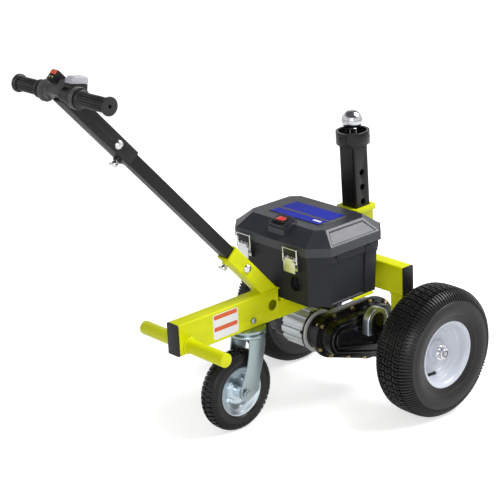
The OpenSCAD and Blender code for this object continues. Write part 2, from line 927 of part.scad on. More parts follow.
module battery_box() {
  body_x = lid_x - 2 * box_wall - 2 * body_gap;
  body_y = lid_y - 2 * box_wall - 2 * body_gap;
  foot_x = lid_x - 2 * body_draft - 2 * foot_in;
  foot_y = lid_y - 2 * body_draft - 2 * foot_in;
  top_cut = lid_cut - box_wall / 2;
  color("#35363a") {
    chassis() difference() {
      union() {
        translate([-box_back, 0, 0]) {
          frustum(cut_rect(foot_x, foot_y, box_cut), cut_rect(body_x - rim_flare, body_y - rim_flare,
            top_cut),
            floor_z, lid_z);
          translate([0, 0, lid_z - band_h]) linear_extrude(band_h - slip)
            polygon(cut_rect(body_x - rim_flare + 2 * band_out, body_y - rim_flare + 2 * band_out,
              top_cut));
          translate([0, 0, lid_z - slip]) linear_extrude(skirt_h) polygon(
            cut_rect(body_x - rim_flare - lid_gap, body_y - rim_flare - lid_gap, top_cut));
          for (side = [-1, 1], x = [-0.22 * lid_x, 0.22 * lid_x])
            translate([x - lug_w / 2, side * (body_y - rim_flare) / 2 - lug_out, lid_z - lug_h - slip])
              cube([lug_w, 2 * lug_out, lug_h]);
        }
      }
      // inside of the body
      translate([-box_back, 0, 0]) {
        frustum(cut_rect(foot_x - 2 * box_wall, foot_y - 2 * box_wall, box_cut - box_wall / 2),
          cut_rect(body_x - rim_flare - 2 * box_wall, body_y - rim_flare - 2 * box_wall,
            top_cut - box_wall / 2),
          floor_z + box_wall, lid_z - 2 * slip);
        translate([0, 0, lid_z - 3 * slip]) linear_extrude(skirt_h + cut) polygon(
          cut_rect(body_x - rim_flare - 2 * box_wall, body_y - rim_flare - 2 * box_wall,
            top_cut - box_wall / 2));
      }
      translate([-box_back, port_y, port_z]) rotate([0, -90, 0]) cylinder(r = port_r + seat, h = lid_x);
    }
    // pads moulded behind the latches
    for (i = [1:4]) latch_at(i) translate([-pad_depth + latch_base_x - seat, -latch_w / 2 + pad_in,
      latch_base_z - pad_in])
      cube([pad_depth, latch_w - 2 * pad_in, latch_base_h + 2 * pad_in]);
  }
}

module charge_port() {
  face = -box_back - lid_x / 2 + body_draft - port_proud;
  color("#0f1011") chassis() translate([face, port_y, port_z]) rotate([0, 90, 0]) {
    ring(port_r, port_r - port_wall, 0, port_depth);
    translate([0, 0, port_depth - port_floor]) cylinder(r = port_r - port_wall / 2, h = port_floor);
    for (i = [0:2]) rotate(120 * i) translate([0.38 * port_r, 0, 0.45 * port_depth])
      cylinder(r = port_pin_r, h = 0.5 * port_depth);
  }
}

module box_lid() {
  inner_x = lid_x - 2 * box_wall;
  inner_y = lid_y - 2 * box_wall;
  color("#76787d") box_at(lid_z) difference() {
    union() {
      linear_extrude(skirt_h) polygon(cut_rect(lid_x, lid_y, lid_cut));
      frustum(cut_rect(lid_x - 2 * shoulder_in, lid_y - 2 * shoulder_in, lid_cut), cut_rect(2 * plate_x,
        2 * plate_y, plate_cut),
        skirt_h - slip, skirt_h + shoulder_h);
      // raised plate for the nameless panel
      linear_extrude(skirt_h + shoulder_h + panel_h)
        polygon(cut_rect(1.16 * plate_x, 1.5 * plate_y, plate_cut / 2));
      // pedestal of the main switch
      translate([switch_x, rocker_y, skirt_h]) linear_extrude(shoulder_h + bezel_t)
        square([1.3 * bezel_x, 1.25 * bezel_y], center = true);
    }
    translate([switch_x, rocker_y, skirt_h + shoulder_h]) rotate([0, -switch_tilt, 0])
      translate([-bezel_x, -bezel_y, -seat]) cube([2 * bezel_x, 2 * bezel_y, 2 * shoulder_h]);
    translate([0, 0, -cut]) linear_extrude(skirt_h + cut)
      polygon(cut_rect(inner_x, inner_y, lid_cut - box_wall / 2));
    frustum(cut_rect(inner_x - 2 * shoulder_in, inner_y - 2 * shoulder_in, lid_cut),
      cut_rect(2 * plate_x - box_wall, 2 * plate_y - box_wall, plate_cut),
      skirt_h - 2 * slip, skirt_h + shoulder_h - box_wall);
    translate([switch_x, rocker_y, skirt_h + shoulder_h]) rotate([0, -switch_tilt, 0])
      cube([0.86 * bezel_x, 0.8 * bezel_y, 2 * shoulder_h], center = true);
  }
}

// place of the main switch: +Z out of the lid's front shoulder
module switch_at() {
  box_at(lid_z) translate([switch_x, rocker_y, skirt_h + shoulder_h])
    rotate([0, -switch_tilt, 0]) children();
}

module switch_bezel() {
  color("#121314") switch_at() difference() {
    linear_extrude(bezel_t) round_rect(1.25 * bezel_x, 1.2 * bezel_y, bezel_corner);
    translate([0, 0, -cut]) linear_extrude(bezel_t + 2 * cut)
      square([rocker_x + 2 * rocker_gap, rocker_l + 2 * slip], center = true);
    translate([0, 0, bezel_t / 2]) rod_y(rocker_axle_r + run, 1.1 * bezel_y);
  }
}

module rocker() {
  color("#d8261c") switch_at() translate([0, 0, bezel_t / 2]) {
    rotate([90, 0, 0]) linear_extrude(rocker_l, center = true) polygon([
      [-rocker_x / 2, 0], [rocker_x / 2, 0], [rocker_x / 2, rocker_low], [0, rocker_mid],
        [-rocker_x / 2, rocker_high]
    ]);
    rod_y(rocker_axle_r, bezel_y);
  }
}

// latch frame: number 1 and 2 on the front wall, 3 and 4 on the rear one; +X points out of the wall
module latch_at(i) {
  front = i <= 2;
  y = front ? latch_front_y[i - 1] : -latch_front_y[i - 3];
  wall = lid_x / 2 + slip;
  chassis() translate([-box_back, y, 0]) rotate([0, 0, front ? 180 : 0])
    translate([wall, 0, 0]) children();
}

module latch_bases() {
  base_x = latch_base_x;
  color("#b4b7ba") for (i = [1:4]) latch_at(i) difference() {
    union() {
      translate([base_x, -latch_w / 2 + plate_in, latch_base_z])
        cube([latch_plate_t, latch_w - 2 * plate_in, latch_base_h]);
      for (s = [-1, 1]) translate([base_x, s * (latch_w / 2 - ear_in) - ear_t / 2,
        latch_pivot_z - ear_low])
        cube([latch_out - base_x + ear_over, ear_t, ear_h]);
    }
    translate([latch_out, 0, latch_pivot_z]) rod_y(lever_pin_r + run, latch_w);
  }
}

module latch_lever(i) {
  color("#c6c9cc") latch_at(i) difference() {
    union() {
      translate([latch_out + lever_out, -latch_w / 2 + lever_in, latch_pivot_z - latch_lever_h])
        cube([latch_lever_t, latch_w - 2 * lever_in, latch_lever_h + lever_over]);
      translate([latch_out + lever_out, -latch_w / 2 + lever_wide_in, latch_pivot_z - latch_lever_h])
        cube([latch_lever_t, latch_w - 2 * lever_wide_in, latch_lever_h - lever_wide_down]);
      translate([latch_out, 0, latch_pivot_z]) rod_y(lever_pin_r, latch_w - 2 * pin_in);
      for (s = [-1, 1])
        translate([latch_out - lever_ear_back, s * (latch_w / 2 - lever_ear_in) - ear_t / 2,
          latch_pivot_z - latch_pin_drop - lever_over])
          cube([lever_ear_w, ear_t, latch_pin_drop + 2 * lever_over]);
    }
    translate([latch_out, 0, latch_pivot_z - latch_pin_drop]) rod_y(latch_wire_r + run, latch_w);
  }
}

module latch_bail(i) {
  foot_z = latch_pivot_z - latch_pin_drop;
  color("#d2d4d6") latch_at(i) {
    for (s = [-1, 1]) {
      translate([latch_out, s * bail_w / 2, foot_z]) cylinder(r = latch_wire_r, h = bail_top - foot_z);
      translate([latch_out, s * bail_w / 2, foot_z]) sphere(r = latch_wire_r);
      translate([latch_out, s * bail_w / 2, bail_top]) sphere(r = latch_wire_r);
      translate([latch_out, s * (bail_w / 2 - bail_foot / 2), foot_z]) rod_y(latch_wire_r, bail_foot);
    }
    translate([latch_out, 0, bail_top]) rod_y(latch_wire_r, bail_w);
  }
}

module battery() {
  color("#26282c") chassis() {
    translate([-box_back - battery_x / 2, -battery_y / 2, floor_z + box_wall])
      cube([battery_x, battery_y, battery_h]);
    for (s = [-1, 1]) translate([-box_back + 0.3 * battery_x, s * 0.36 * battery_y,
      floor_z + box_wall + battery_h])
      cylinder(r = terminal_r, h = terminal_h);
  }
}

// drive

module motor_housing() {
  y0 = motor_ring_t;
  color("#c3c7ca") sideways(motor_x, motor_z, 1) difference() {
    union() {
      cylinder(r = motor_ring_r, h = motor_ring_t);
      translate([0, 0, y0]) cylinder(r = motor_r - fin_h, h = motor_len - y0, $fn = 96);
      for (i = [0:motor_fins - 1]) rotate(i * 360 / motor_fins)
        translate([motor_r - 2 * fin_h, -fin_w / 2, y0 - cut]) cube([2 * fin_h, fin_w, motor_len - y0]);
    }
    translate([0, 0, -cut]) cylinder(r = motor_r - fin_h - motor_wall, h = motor_len + 2 * cut);
  }
}

module motor_end_cover() {
  color("#1c1d1f") sideways(motor_x, motor_z, 1) difference() {
    union() {
      translate([0, 0, motor_len]) cylinder(r = end_cover_r, h = end_cover_len);
      translate([0, 0, motor_len + end_cover_len]) cylinder(r = brake_r, h = brake_len);
    }
    translate([0, 0, motor_len - cut]) cylinder(r = rotor_shaft_r + run, h = end_cover_len);
  }
}

module gear_case() {
  color("#17181a") {
    difference() {
      union() {
        case_slab(case_r1, case_r2, split_y, case_back_y);
        case_slab(case_r1 + case_flange, case_r2 + case_flange, split_y, split_y + case_flange_t);
        sideways(motor_x, motor_z, -1) cylinder(r = adapter_r, h = adapter_t);
        sideways(0, wheel_r, 1) cylinder(r = tube_flange_r, h = tube_flange_t);
        sideways(0, wheel_r, 1) cylinder(r = tube_r, h = track_half - tyre_half - slip);
      }
      case_slab(case_r1 - case_wall, case_r2 - case_wall, split_y - cut, case_back_y - case_wall);
      sideways(0, wheel_r, 1) translate([0, 0, -2 * case_wall])
        cylinder(r = shaft_r + run, h = track_half);
      sideways(0, wheel_r, 1) translate([0, 0, tube_flange_t])
        cylinder(r = tube_r - tube_wall, h = track_half - tyre_half - 3 * tube_flange_t);
      sideways(motor_x, motor_z, 1) translate([0, 0, -2 * adapter_t])
        cylinder(r = rotor_shaft_r + run, h = 4 * adapter_t);
      sideways(idler_x, idler_z, 1) translate([0, 0, -case_wall - cut])
        cylinder(r = idler_shaft_r + run, h = case_wall - blind_wall + cut);
      case_bolt_places() cylinder(r = case_bolt_r + seat, h = 4 * case_flange_t, center = true);
    }
  }
}

module gear_cover() {
  color("#1d1e20") difference() {
    union() {
      case_slab(case_r1 - cover_in, case_r2 - cover_in, cover_y, split_y);
      case_slab(case_r1 + case_flange, case_r2 + case_flange, split_y - case_flange_t, split_y);
      case_slab(0.6 * case_r1, 0.5 * case_r2, cover_y - cover_raise, cover_y + cut);
      sideways(0, wheel_r, -1) translate([0, 0, -cover_y - case_wall]) {
        cylinder(r = tube_flange_r, h = case_wall + tube_flange_t);
        cylinder(r = tube_r, h = track_half - tyre_half - slip + cover_y + case_wall);
      }
      // round boss under the arm
      chassis() translate([arm_x, cover_y + cut, arm_z]) rotate([90, 0, 0])
        cylinder(r = arm_bore_r - slip, h = arm_reach + cut);
    }
    case_slab(case_r1 - case_wall, case_r2 - case_wall, cover_y + case_wall, split_y + cut);
    sideways(0, wheel_r, -1) cylinder(r = shaft_r + run, h = track_half);
    sideways(0, wheel_r, -1) translate([0, 0, -cover_y + tube_flange_t])
      cylinder(r = tube_r - tube_wall, h = track_half - tyre_half - 3 * tube_flange_t + cover_y);
    sideways(idler_x, idler_z, -1) translate([0, 0, -cover_y - case_wall - cut])
      cylinder(r = idler_shaft_r + run, h = case_wall - blind_wall + cut);
    case_bolt_places() cylinder(r = case_bolt_r + seat, h = 4 * case_flange_t, center = true);
  }
}

// seats of the case bolts round the split flange, +Z to the right-hand side
module case_bolt_places() {
  d = motor_reach;
  lean = asin((case_r2 - case_r1) / d);
  rim = case_flange / 2;
  chassis() translate([0, split_y, wheel_r]) rotate([90, 0, 0]) rotate(180 - gear_line) {
    for (s = [-1, 1], f = [0.05, 0.5, 0.95]) {
      r = case_r2 + rim + f * (case_r1 - case_r2);
      translate([f * d + r * sin(lean), s * r * cos(lean)]) children();
    }
    for (a = [120, 180, 240]) translate((case_r2 + rim) * [cos(a), sin(a)]) children();
    for (a = [-35, 35]) translate([d + (case_r1 + rim) * cos(a), (case_r1 + rim) * sin(a)]) children();
  }
}

module case_bolts() {
  color("#b39a5c") case_bolt_places() {
    translate([0, 0, -case_flange_t]) cylinder(r = case_bolt_r, h = 2 * case_flange_t);
    translate([0, 0, case_flange_t]) cylinder(r = case_bolt_head_r, h = case_bolt_head_h,
      $fn = case_bolt_flats);
    translate([0, 0, -case_flange_t - case_bolt_head_h])
      cylinder(r = case_bolt_head_r, h = case_bolt_head_h, $fn = case_bolt_flats);
  }
}

// cast arm that hooks over the cover's round boss
module axle_arm() {
  outer = arm_bore_r + arm_r;
  color("#8b9096") chassis() translate([arm_x, cover_y - arm_reach, arm_z]) rotate([90, 0, 0])
    translate([0, 0, -arm_t]) linear_extrude(arm_t) difference() {
      union() {
        circle(r = outer);
        translate([-outer, -arm_foot]) square([arm_r, arm_foot]);
        translate([outer - arm_r, -0.4 * arm_foot]) square([arm_r, 0.4 * arm_foot]);
      }
      circle(r = arm_bore_r);
      translate([-arm_bore_r, -2 * arm_foot]) square([2 * arm_bore_r, 2 * arm_foot]);
      translate([-outer + arm_r, -2 * outer]) square([2 * outer, 2 * outer - 0.4 * arm_foot]);
      translate([-2 * outer, -2 * outer]) square([4 * outer, 2 * outer - arm_foot]);
    }
}

module motor_rotor() {
  color("#8d7a52") sideways(motor_x, motor_z, 1) {
    translate([0, 0, stage1_y - gear_t / 2])
      cylinder(r = rotor_shaft_r, h = motor_len + end_cover_len - rotor_gap - stage1_y);
    translate([0, 0, 0.22 * motor_len]) cylinder(r = rotor_r, h = rotor_len);
  }
  color("#8d7a52") gear_at(motor_x, motor_z, stage1_y) gear(pinion_teeth, gear_t, 0, 0);
}

// stage one drives the idler's large gear, stage two drives the axle gear from its small one
module idler_gear() {
  color("#9a9da1") {
    gear_at(idler_x, idler_z, stage1_y) gear(idler_teeth, gear_t, idler_shaft_r - hub_sink,
      180 / idler_teeth);
    gear_at(idler_x, idler_z, stage2_y) gear(idler_pinion_teeth, gear_t, idler_shaft_r - hub_sink,
      180 / idler_pinion_teeth);
    sideways(idler_x, idler_z, -1) translate([0, 0, case_wall + slip / 2])
      cylinder(r = idler_shaft_r, h = -cover_y - 2 * case_wall - slip);
  }
}

module axle_gear() {
  color("#9a9da1") difference() {
    union() {
      gear_at(0, wheel_r, stage2_y) gear(axle_teeth, gear_t, shaft_r + run, 0);
      sideways(0, wheel_r, -1) translate([0, 0, -stage2_y + gear_t / 2 - carrier_len])
        cylinder(r = carrier_r, h = carrier_len + gear_t);
    }
    sideways(0, wheel_r, -1) cylinder(r = shaft_r + run, h = track_half);
  }
}

// gear frame: local +X points from the axle to the motor, along the gears' common line
module gear_at(x, z, y) {
  chassis() translate([x, y + gear_t / 2, z]) rotate([90, 0, 0]) rotate(180 - gear_line) children();
}

module axle_shaft(side) {
  color("#b9bcc0") sideways(0, wheel_r, side) {
    inner_end = side > 0 ? stage2_y + slip : -stage2_y + slip;
    translate([0, 0, inner_end]) cylinder(r = shaft_r, h = shaft_end - inner_end);
    translate([0, 0, track_half + hub_out]) cylinder(r = shaft_nut_r, h = shaft_nut_h, $fn = nut_flats);
  }
}

// wheels

module rim(side) {
  edge = rim_half;
  color("#e9ebed") sideways(0, wheel_r, side) translate([0, 0, track_half]) {
    rotate_extrude($fn = 96) polygon([
      [bead_r, -edge], [rim_r, -edge], [rim_r, -edge + rim_wall], [bead_r, -edge + rim_wall],
      [bead_r - 0.3 * rim_wall, -0.2 * edge], [bead_r, edge - rim_wall], [rim_r, edge - rim_wall],
      [rim_r, edge], [bead_r - rim_wall, edge - rim_wall], [bead_r - 2 * rim_wall, 0.5 * edge],
      [dish_r, dish_out], [0.8 * dish_r, dish_out - dish_step], [hub_r + rim_wall, dish_out - rim_wall],
      [hub_r + rim_wall, dish_out - 2 * rim_wall], [0.8 * dish_r, dish_out - dish_step - rim_wall],
        [dish_r, dish_out - rim_wall], [bead_r - 2 * rim_wall, 0.3 * edge],
      [bead_r - 1.6 * rim_wall, -0.2 * edge], [bead_r - rim_wall, -edge + rim_wall]
    ]);
    difference() {
      rotate_extrude() polygon([
        [0, -hub_in], [hub_r - dish_step, -hub_in], [hub_r - dish_step, dish_out - 2 * dish_step],
        [hub_r + hub_lap, dish_out - dish_step], [hub_r + hub_lap, dish_out - rim_wall],
        [hub_r - dish_step, dish_out + hub_proud], [hub_r - dish_step - hub_proud, hub_out], [0, hub_out]
      ]);
      translate([0, 0, -2 * hub_in]) cylinder(r = hub_bore_r, h = 4 * hub_in);
    }
  }
}

module tyre(side) {
  h = tyre_half;
  crown = wheel_r;
  color("#1c1c1e") sideways(0, wheel_r, side) translate([0, 0, track_half]) rotate_extrude($fn = 96)
    difference() {
      union() {
        intersection() {
          translate([(crown + rim_r) / 2 + tyre_shift, 0])
            scale([0.5 * (crown - rim_r + tyre_lap), h]) circle(r = 1, $fn = 48);
          translate([bead_r + seat, -h]) square([crown - bead_r - seat, 2 * h]);
        }
        translate([bead_r + seat, -rim_half + rim_wall])
          square([rim_r - bead_r + bead_h, 2 * rim_half - 2 * rim_wall]);
      }
      translate([bead_r + seat, -rim_half - h]) square([rim_r - bead_r + seat, h + rim_wall + seat]);
      translate([bead_r + seat, rim_half - rim_wall - seat])
        square([rim_r - bead_r + seat, h + rim_wall]);
      translate([bead_r + seat, -0.7 * rim_half]) square([0.66 * (crown - bead_r), 1.4 * rim_half]);
    }
}

// caster

module caster_plate() {
  color("#c2c8c4") chassis() translate([-swivel_back, 0, beam_z]) difference() {
    union() {
      translate([0, 0, -caster_plate_t]) cylinder(r = caster_top_r, h = caster_plate_t);
      translate([0, 0, -caster_plate_t]) cylinder(r = spigot_r, h = caster_plate_t + spigot_h);
      translate([0, 0, -caster_plate_t - race_h / 2])
        cylinder(r = caster_disc_r - race_in, h = race_h / 2);
      translate([0, 0, -caster_plate_t - race_h - fork_crown_t - king_head_h])
        cylinder(r = king_r, h = race_h + fork_crown_t + king_head_h);
      translate([0, 0, -caster_plate_t - race_h - fork_crown_t - slip - king_head_h])
        cylinder(r = king_head_r, h = king_head_h, $fn = nut_flats);
    }
    translate([0, 0, cross_bolt_up]) rod_y(cross_bolt_r + seat, beam_w);
  }
  // cross bolt that holds the spigot in the beam
  color("#b3b6ba") chassis() translate([-swivel_back, 0, beam_z + cross_bolt_up]) {
    rod_y(cross_bolt_r, beam_w + cross_bolt_head_h);
    for (s = [-1, 1]) translate([0, s * beam_w / 2, 0]) rotate([-90 * s, 0, 0])
      cylinder(r = cross_bolt_head_r, h = cross_bolt_head_h, $fn = nut_flats);
  }
}

module caster_fork() {
  top = beam_z - caster_plate_t - race_h / 2 - slip;
  crown = beam_z - caster_plate_t - race_h;
  drop = crown - caster_axle_z;
  color("#aeb8b4") chassis() translate([-swivel_back, 0, 0]) difference() {
    union() {
      translate([0, 0, crown - fork_crown_t]) cylinder(r = caster_disc_r, h = fork_crown_t + top - crown);
      for (s = [-1, 1]) translate([0, s * (fork_half - fork_t / 2), 0]) rotate([90, 0, 0])
        linear_extrude(fork_t, center = true) {
        polygon([[-0.55 * fork_w, crown], [0.55 * fork_w, crown], [0.52 * fork_w, crown - 0.22 * drop],
          [-caster_trail + 0.44 * fork_w, caster_axle_z], [-caster_trail - 0.44 * fork_w, caster_axle_z],
          [-0.6 * fork_w, crown - 0.22 * drop]]);
        translate([-caster_trail, caster_axle_z]) circle(r = 0.44 * fork_w);
      }
      // axle bolt, its head on the right and its nut on the left
      translate([-caster_trail, 0, caster_axle_z]) {
        rod_y(caster_bolt_r, 2 * fork_half + caster_bolt_head_h);
        for (s = [-1, 1]) translate([0, s * fork_half, 0]) rotate([-90 * s, 0, 0])
          cylinder(r = caster_bolt_head_r, h = caster_bolt_head_h, $fn = nut_flats);
      }
    }
    translate([0, 0, crown - fork_crown_t - cut])
      cylinder(r = king_r + run, h = 4 * fork_crown_t + race_h);
  }
}

module caster_wheel() {
  h = fork_half - fork_t - 2 * slip;
  color("#dfe2e4") chassis() translate([caster_axle_x, 0, caster_axle_z]) rotate([90, 0, 0]) {
    ring(caster_hub_r, caster_bolt_r + run, -h, h);
    rotate_extrude($fn = 64) polygon([
      [caster_hub_r - hub_sink, -caster_web_t], [0.62 * caster_rim_r, -caster_web_t],
        [caster_bead_r - 2 * caster_step, -0.3 * caster_half],
      [caster_bead_r - caster_step, -0.74 * caster_half], [caster_rim_r, -0.8 * caster_half],
        [caster_rim_r, -0.68 * caster_half],
      [caster_bead_r, -0.6 * caster_half], [caster_bead_r, 0.6 * caster_half], [caster_rim_r,
        0.68 * caster_half],
      [caster_rim_r, 0.8 * caster_half], [caster_bead_r - caster_step, 0.74 * caster_half],
        [caster_bead_r - 2 * caster_step, 0.3 * caster_half],
      [0.62 * caster_rim_r, caster_web_t], [caster_hub_r - hub_sink, caster_web_t]
    ]);
  }
}

module caster_tyre() {
  h = caster_half;
  color("#1e1e20") chassis() translate([caster_axle_x, 0, caster_axle_z]) rotate([90, 0, 0])
    rotate_extrude($fn = 96)
    difference() {
      intersection() {
        translate([(caster_r + caster_bead_r) / 2, 0])
          scale([0.5 * (caster_r - caster_bead_r) + caster_lap, h]) circle(r = 1, $fn = 48);
        translate([caster_bead_r + seat, -h]) square([caster_r - caster_bead_r - seat, 2 * h]);
      }
      for (s = [-1, 1]) translate([caster_bead_r, s * 0.9 * h - 0.32 * h])
        square([caster_rim_r - caster_bead_r + seat, 0.64 * h]);
    }
}

main_beam();
end_caps();
push_bar();
cross_beam();
axle_legs();
mast_receiver();
battery_tray();
handle_socket();
socket_bolt();
socket_screw();
lower_tube();
upper_tube();
upper_bolt();
upper_screw();
handlebar();
left_grip();
throttle_grip();
throttle_case();
control_head();
display_cap();
switch_pod();
stop_button();
mast();
mast_collar();
hitch_ball();
ball_nut();
battery_box();
box_lid();
switch_bezel();
rocker();
charge_port();
latch_bases();
latch_lever(1);  // latch_lever_1
latch_lever(2);  // latch_lever_2
latch_lever(3);  // latch_lever_3
latch_lever(4);  // latch_lever_4
latch_bail(1);  // latch_bail_1
latch_bail(2);  // latch_bail_2
latch_bail(3);  // latch_bail_3
latch_bail(4);  // latch_bail_4
battery();
motor_housing();
motor_end_cover();
gear_case();
gear_cover();
case_bolts();
axle_arm();
motor_rotor();
idler_gear();
axle_gear();
axle_shaft(1);  // left_shaft
axle_shaft(-1);  // right_shaft
rim(1);  // left_rim
rim(-1);  // right_rim
tyre(1);  // left_tyre
tyre(-1);  // right_tyre
caster_plate();
caster_fork();
caster_wheel();
caster_tyre();
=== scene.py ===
# %% [markdown]
# # A walk behind electric tug, dressed for its portrait
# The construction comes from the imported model: tubes, wheels, box and joints at their real size. This lesson
# adds what the eye looks for: paint, cast metal, moulded plastic, tread, welds and rounded edges. Every piece
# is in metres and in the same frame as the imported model, so nothing has to be fitted afterwards.

# %% Load the frame
import json
import math

import bpy
import bmesh
from mathutils import Matrix, Vector

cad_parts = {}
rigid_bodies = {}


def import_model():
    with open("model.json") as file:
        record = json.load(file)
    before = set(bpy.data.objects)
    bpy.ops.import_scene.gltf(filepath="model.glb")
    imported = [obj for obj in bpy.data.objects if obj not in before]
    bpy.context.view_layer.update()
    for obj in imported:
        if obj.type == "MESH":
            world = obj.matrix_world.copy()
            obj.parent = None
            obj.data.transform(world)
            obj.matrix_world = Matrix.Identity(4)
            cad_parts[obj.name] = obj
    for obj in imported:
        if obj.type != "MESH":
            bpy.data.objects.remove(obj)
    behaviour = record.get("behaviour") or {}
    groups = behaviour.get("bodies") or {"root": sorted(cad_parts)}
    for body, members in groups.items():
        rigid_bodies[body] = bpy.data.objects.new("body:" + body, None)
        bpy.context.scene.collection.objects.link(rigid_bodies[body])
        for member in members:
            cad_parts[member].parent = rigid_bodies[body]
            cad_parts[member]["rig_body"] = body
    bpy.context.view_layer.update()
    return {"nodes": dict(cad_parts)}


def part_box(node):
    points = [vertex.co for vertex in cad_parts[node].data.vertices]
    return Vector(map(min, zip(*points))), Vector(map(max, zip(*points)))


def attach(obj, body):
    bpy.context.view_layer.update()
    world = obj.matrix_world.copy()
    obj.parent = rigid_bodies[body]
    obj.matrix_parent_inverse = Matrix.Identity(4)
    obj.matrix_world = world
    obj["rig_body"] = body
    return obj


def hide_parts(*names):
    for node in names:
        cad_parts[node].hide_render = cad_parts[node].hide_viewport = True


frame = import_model()
nodes = frame["nodes"]

# %% [markdown]
# The tug is drawn level and then pitched by a few degrees, because its caster is smaller than its driven
# wheels. So each group of pieces gets a place of its own: a matrix that takes level millimetres to the world.
# The axle is read off the tyres, and the rest are the driving sizes of the real machine.

# %% Places
WHEEL_R = 165.0
CASTER_R = 101.6
PITCH = math.radians(3.4)
HANDLE_ANGLE = math.radians(47.8)
POST_LEAN = math.radians(2.0)
TRACK_HALF = 253.0
BEAM_W, BEAM_H = 39.0, 78.0
BEAM_Z = WHEEL_R + 110.7
BEAM_TOP = BEAM_Z + BEAM_H
NOTCH_REACH = 295.0
FOOT_BACK = 319.3
BAR_UP = 797.0
SWIVEL_BACK, TRAIL = 380.0, 46.5
CROSS_X, CROSS_H = 3.25, 75.0
CROSS_Z = BEAM_Z + 11.0
CROSS_TOP = CROSS_Z + CROSS_H
BOX_BACK = 171.4
BOX_FLOOR = WHEEL_R + 161.0
LID_Z = BOX_FLOOR + 130.5
SKIRT_H, SHOULDER_H = 22.0, 31.0
LID_TOP = LID_Z + SKIRT_H + SHOULDER_H


def shift(x, y, z):
    return Matrix.Translation((x, y, z))


def turn(degrees, axis):
    return Matrix.Rotation(math.radians(degrees), 4, axis)


axle_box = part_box("left_tyre")
axle_x = (axle_box[0][0] + axle_box[1][0]) / 2 * 1000
CHASSIS = shift(axle_x, 0, WHEEL_R) @ Matrix.Rotation(-PITCH, 4, "Y") @ shift(0, 0, -WHEEL_R)
COLUMN = CHASSIS @ shift(-FOOT_BACK, 0, BEAM_TOP) @ Matrix.Rotation(HANDLE_ANGLE - math.pi / 2, 4, "Y")
POST = CHASSIS @ shift(CROSS_X, 0, CROSS_TOP) @ Matrix.Rotation(-POST_LEAN, 4, "Y")
BAR = COLUMN @ shift(0, 0, BAR_UP) @ turn(-90, "X")
BOX = CHASSIS @ shift(-BOX_BACK, 0, 0)


def sideways(x, z, side):
    """A place on an axis that runs out to one side, +Z outwards: side is 1 for left and -1 for right."""
    return CHASSIS @ shift(x, 0, z) @ turn(-90 * side, "X")


MM = Matrix.Scale(0.001, 4)
print("axle at x =", round(axle_x, 1), "mm")

# %% [markdown]
# The camera stands where the photographer stood: a little over a metre and a half high, almost four metres
# away, with a long lens. It is made first, so that every later step can be looked at from there.

# %% Camera
CAM_AZIMUTH, CAM_ELEVATION = math.radians(42.292), math.radians(17.71)
CAM_PLACE = Vector((axle_x - 2751.4, -2608.8, 1569.6)) * 0.001
camera_data = bpy.data.cameras.new("camera")
camera_data.sensor_width = 36.0
camera_data.lens = 112.92
camera = bpy.data.objects.new("camera", camera_data)
bpy.context.scene.collection.objects.link(camera)
camera.location = CAM_PLACE
look = Vector((math.sin(CAM_AZIMUTH) * math.cos(CAM_ELEVATION),
               math.cos(CAM_AZIMUTH) * math.cos(CAM_ELEVATION), -math.sin(CAM_ELEVATION)))
camera.rotation_mode = "QUATERNION"
camera.rotation_quaternion = look.to_track_quat("-Z", "Y")
bpy.context.scene.camera = camera
print("camera at", [round(v, 3) for v in CAM_PLACE])

# %% [markdown]
# Shader sums read best as sums. This small class wraps a socket, so that `grain * 0.4 + 0.3` adds the Math
# nodes by itself. Paint wraps one material and feeds a value or a socket to any input.


# %% A class for shader sums
class Field:
    def __init__(self, paint, out):
        self.paint, self.out = paint, out

    def math(self, operation, first, second=0.0):
        return self.paint.node("ShaderNodeMath", {"operation": operation}, {0: first, 1: second})

    def __add__(self, other):
        return self.math("ADD", self, other)

    def __mul__(self, other):
        return self.math("MULTIPLY", self, other)

    def __sub__(self, other):
        return self.math("SUBTRACT", self, other)

    def __rsub__(self, other):
        return self.math("SUBTRACT", other, self)

    __radd__, __rmul__ = __add__, __mul__

    def ramp(self, low, high):
        """0 below low, 1 above high, and a straight slope between them."""
        stops = {0: self, 1: low, 2: high, 3: 0.0, 4: 1.0}
        return self.paint.node("ShaderNodeMapRange", {"clamp": True}, stops)


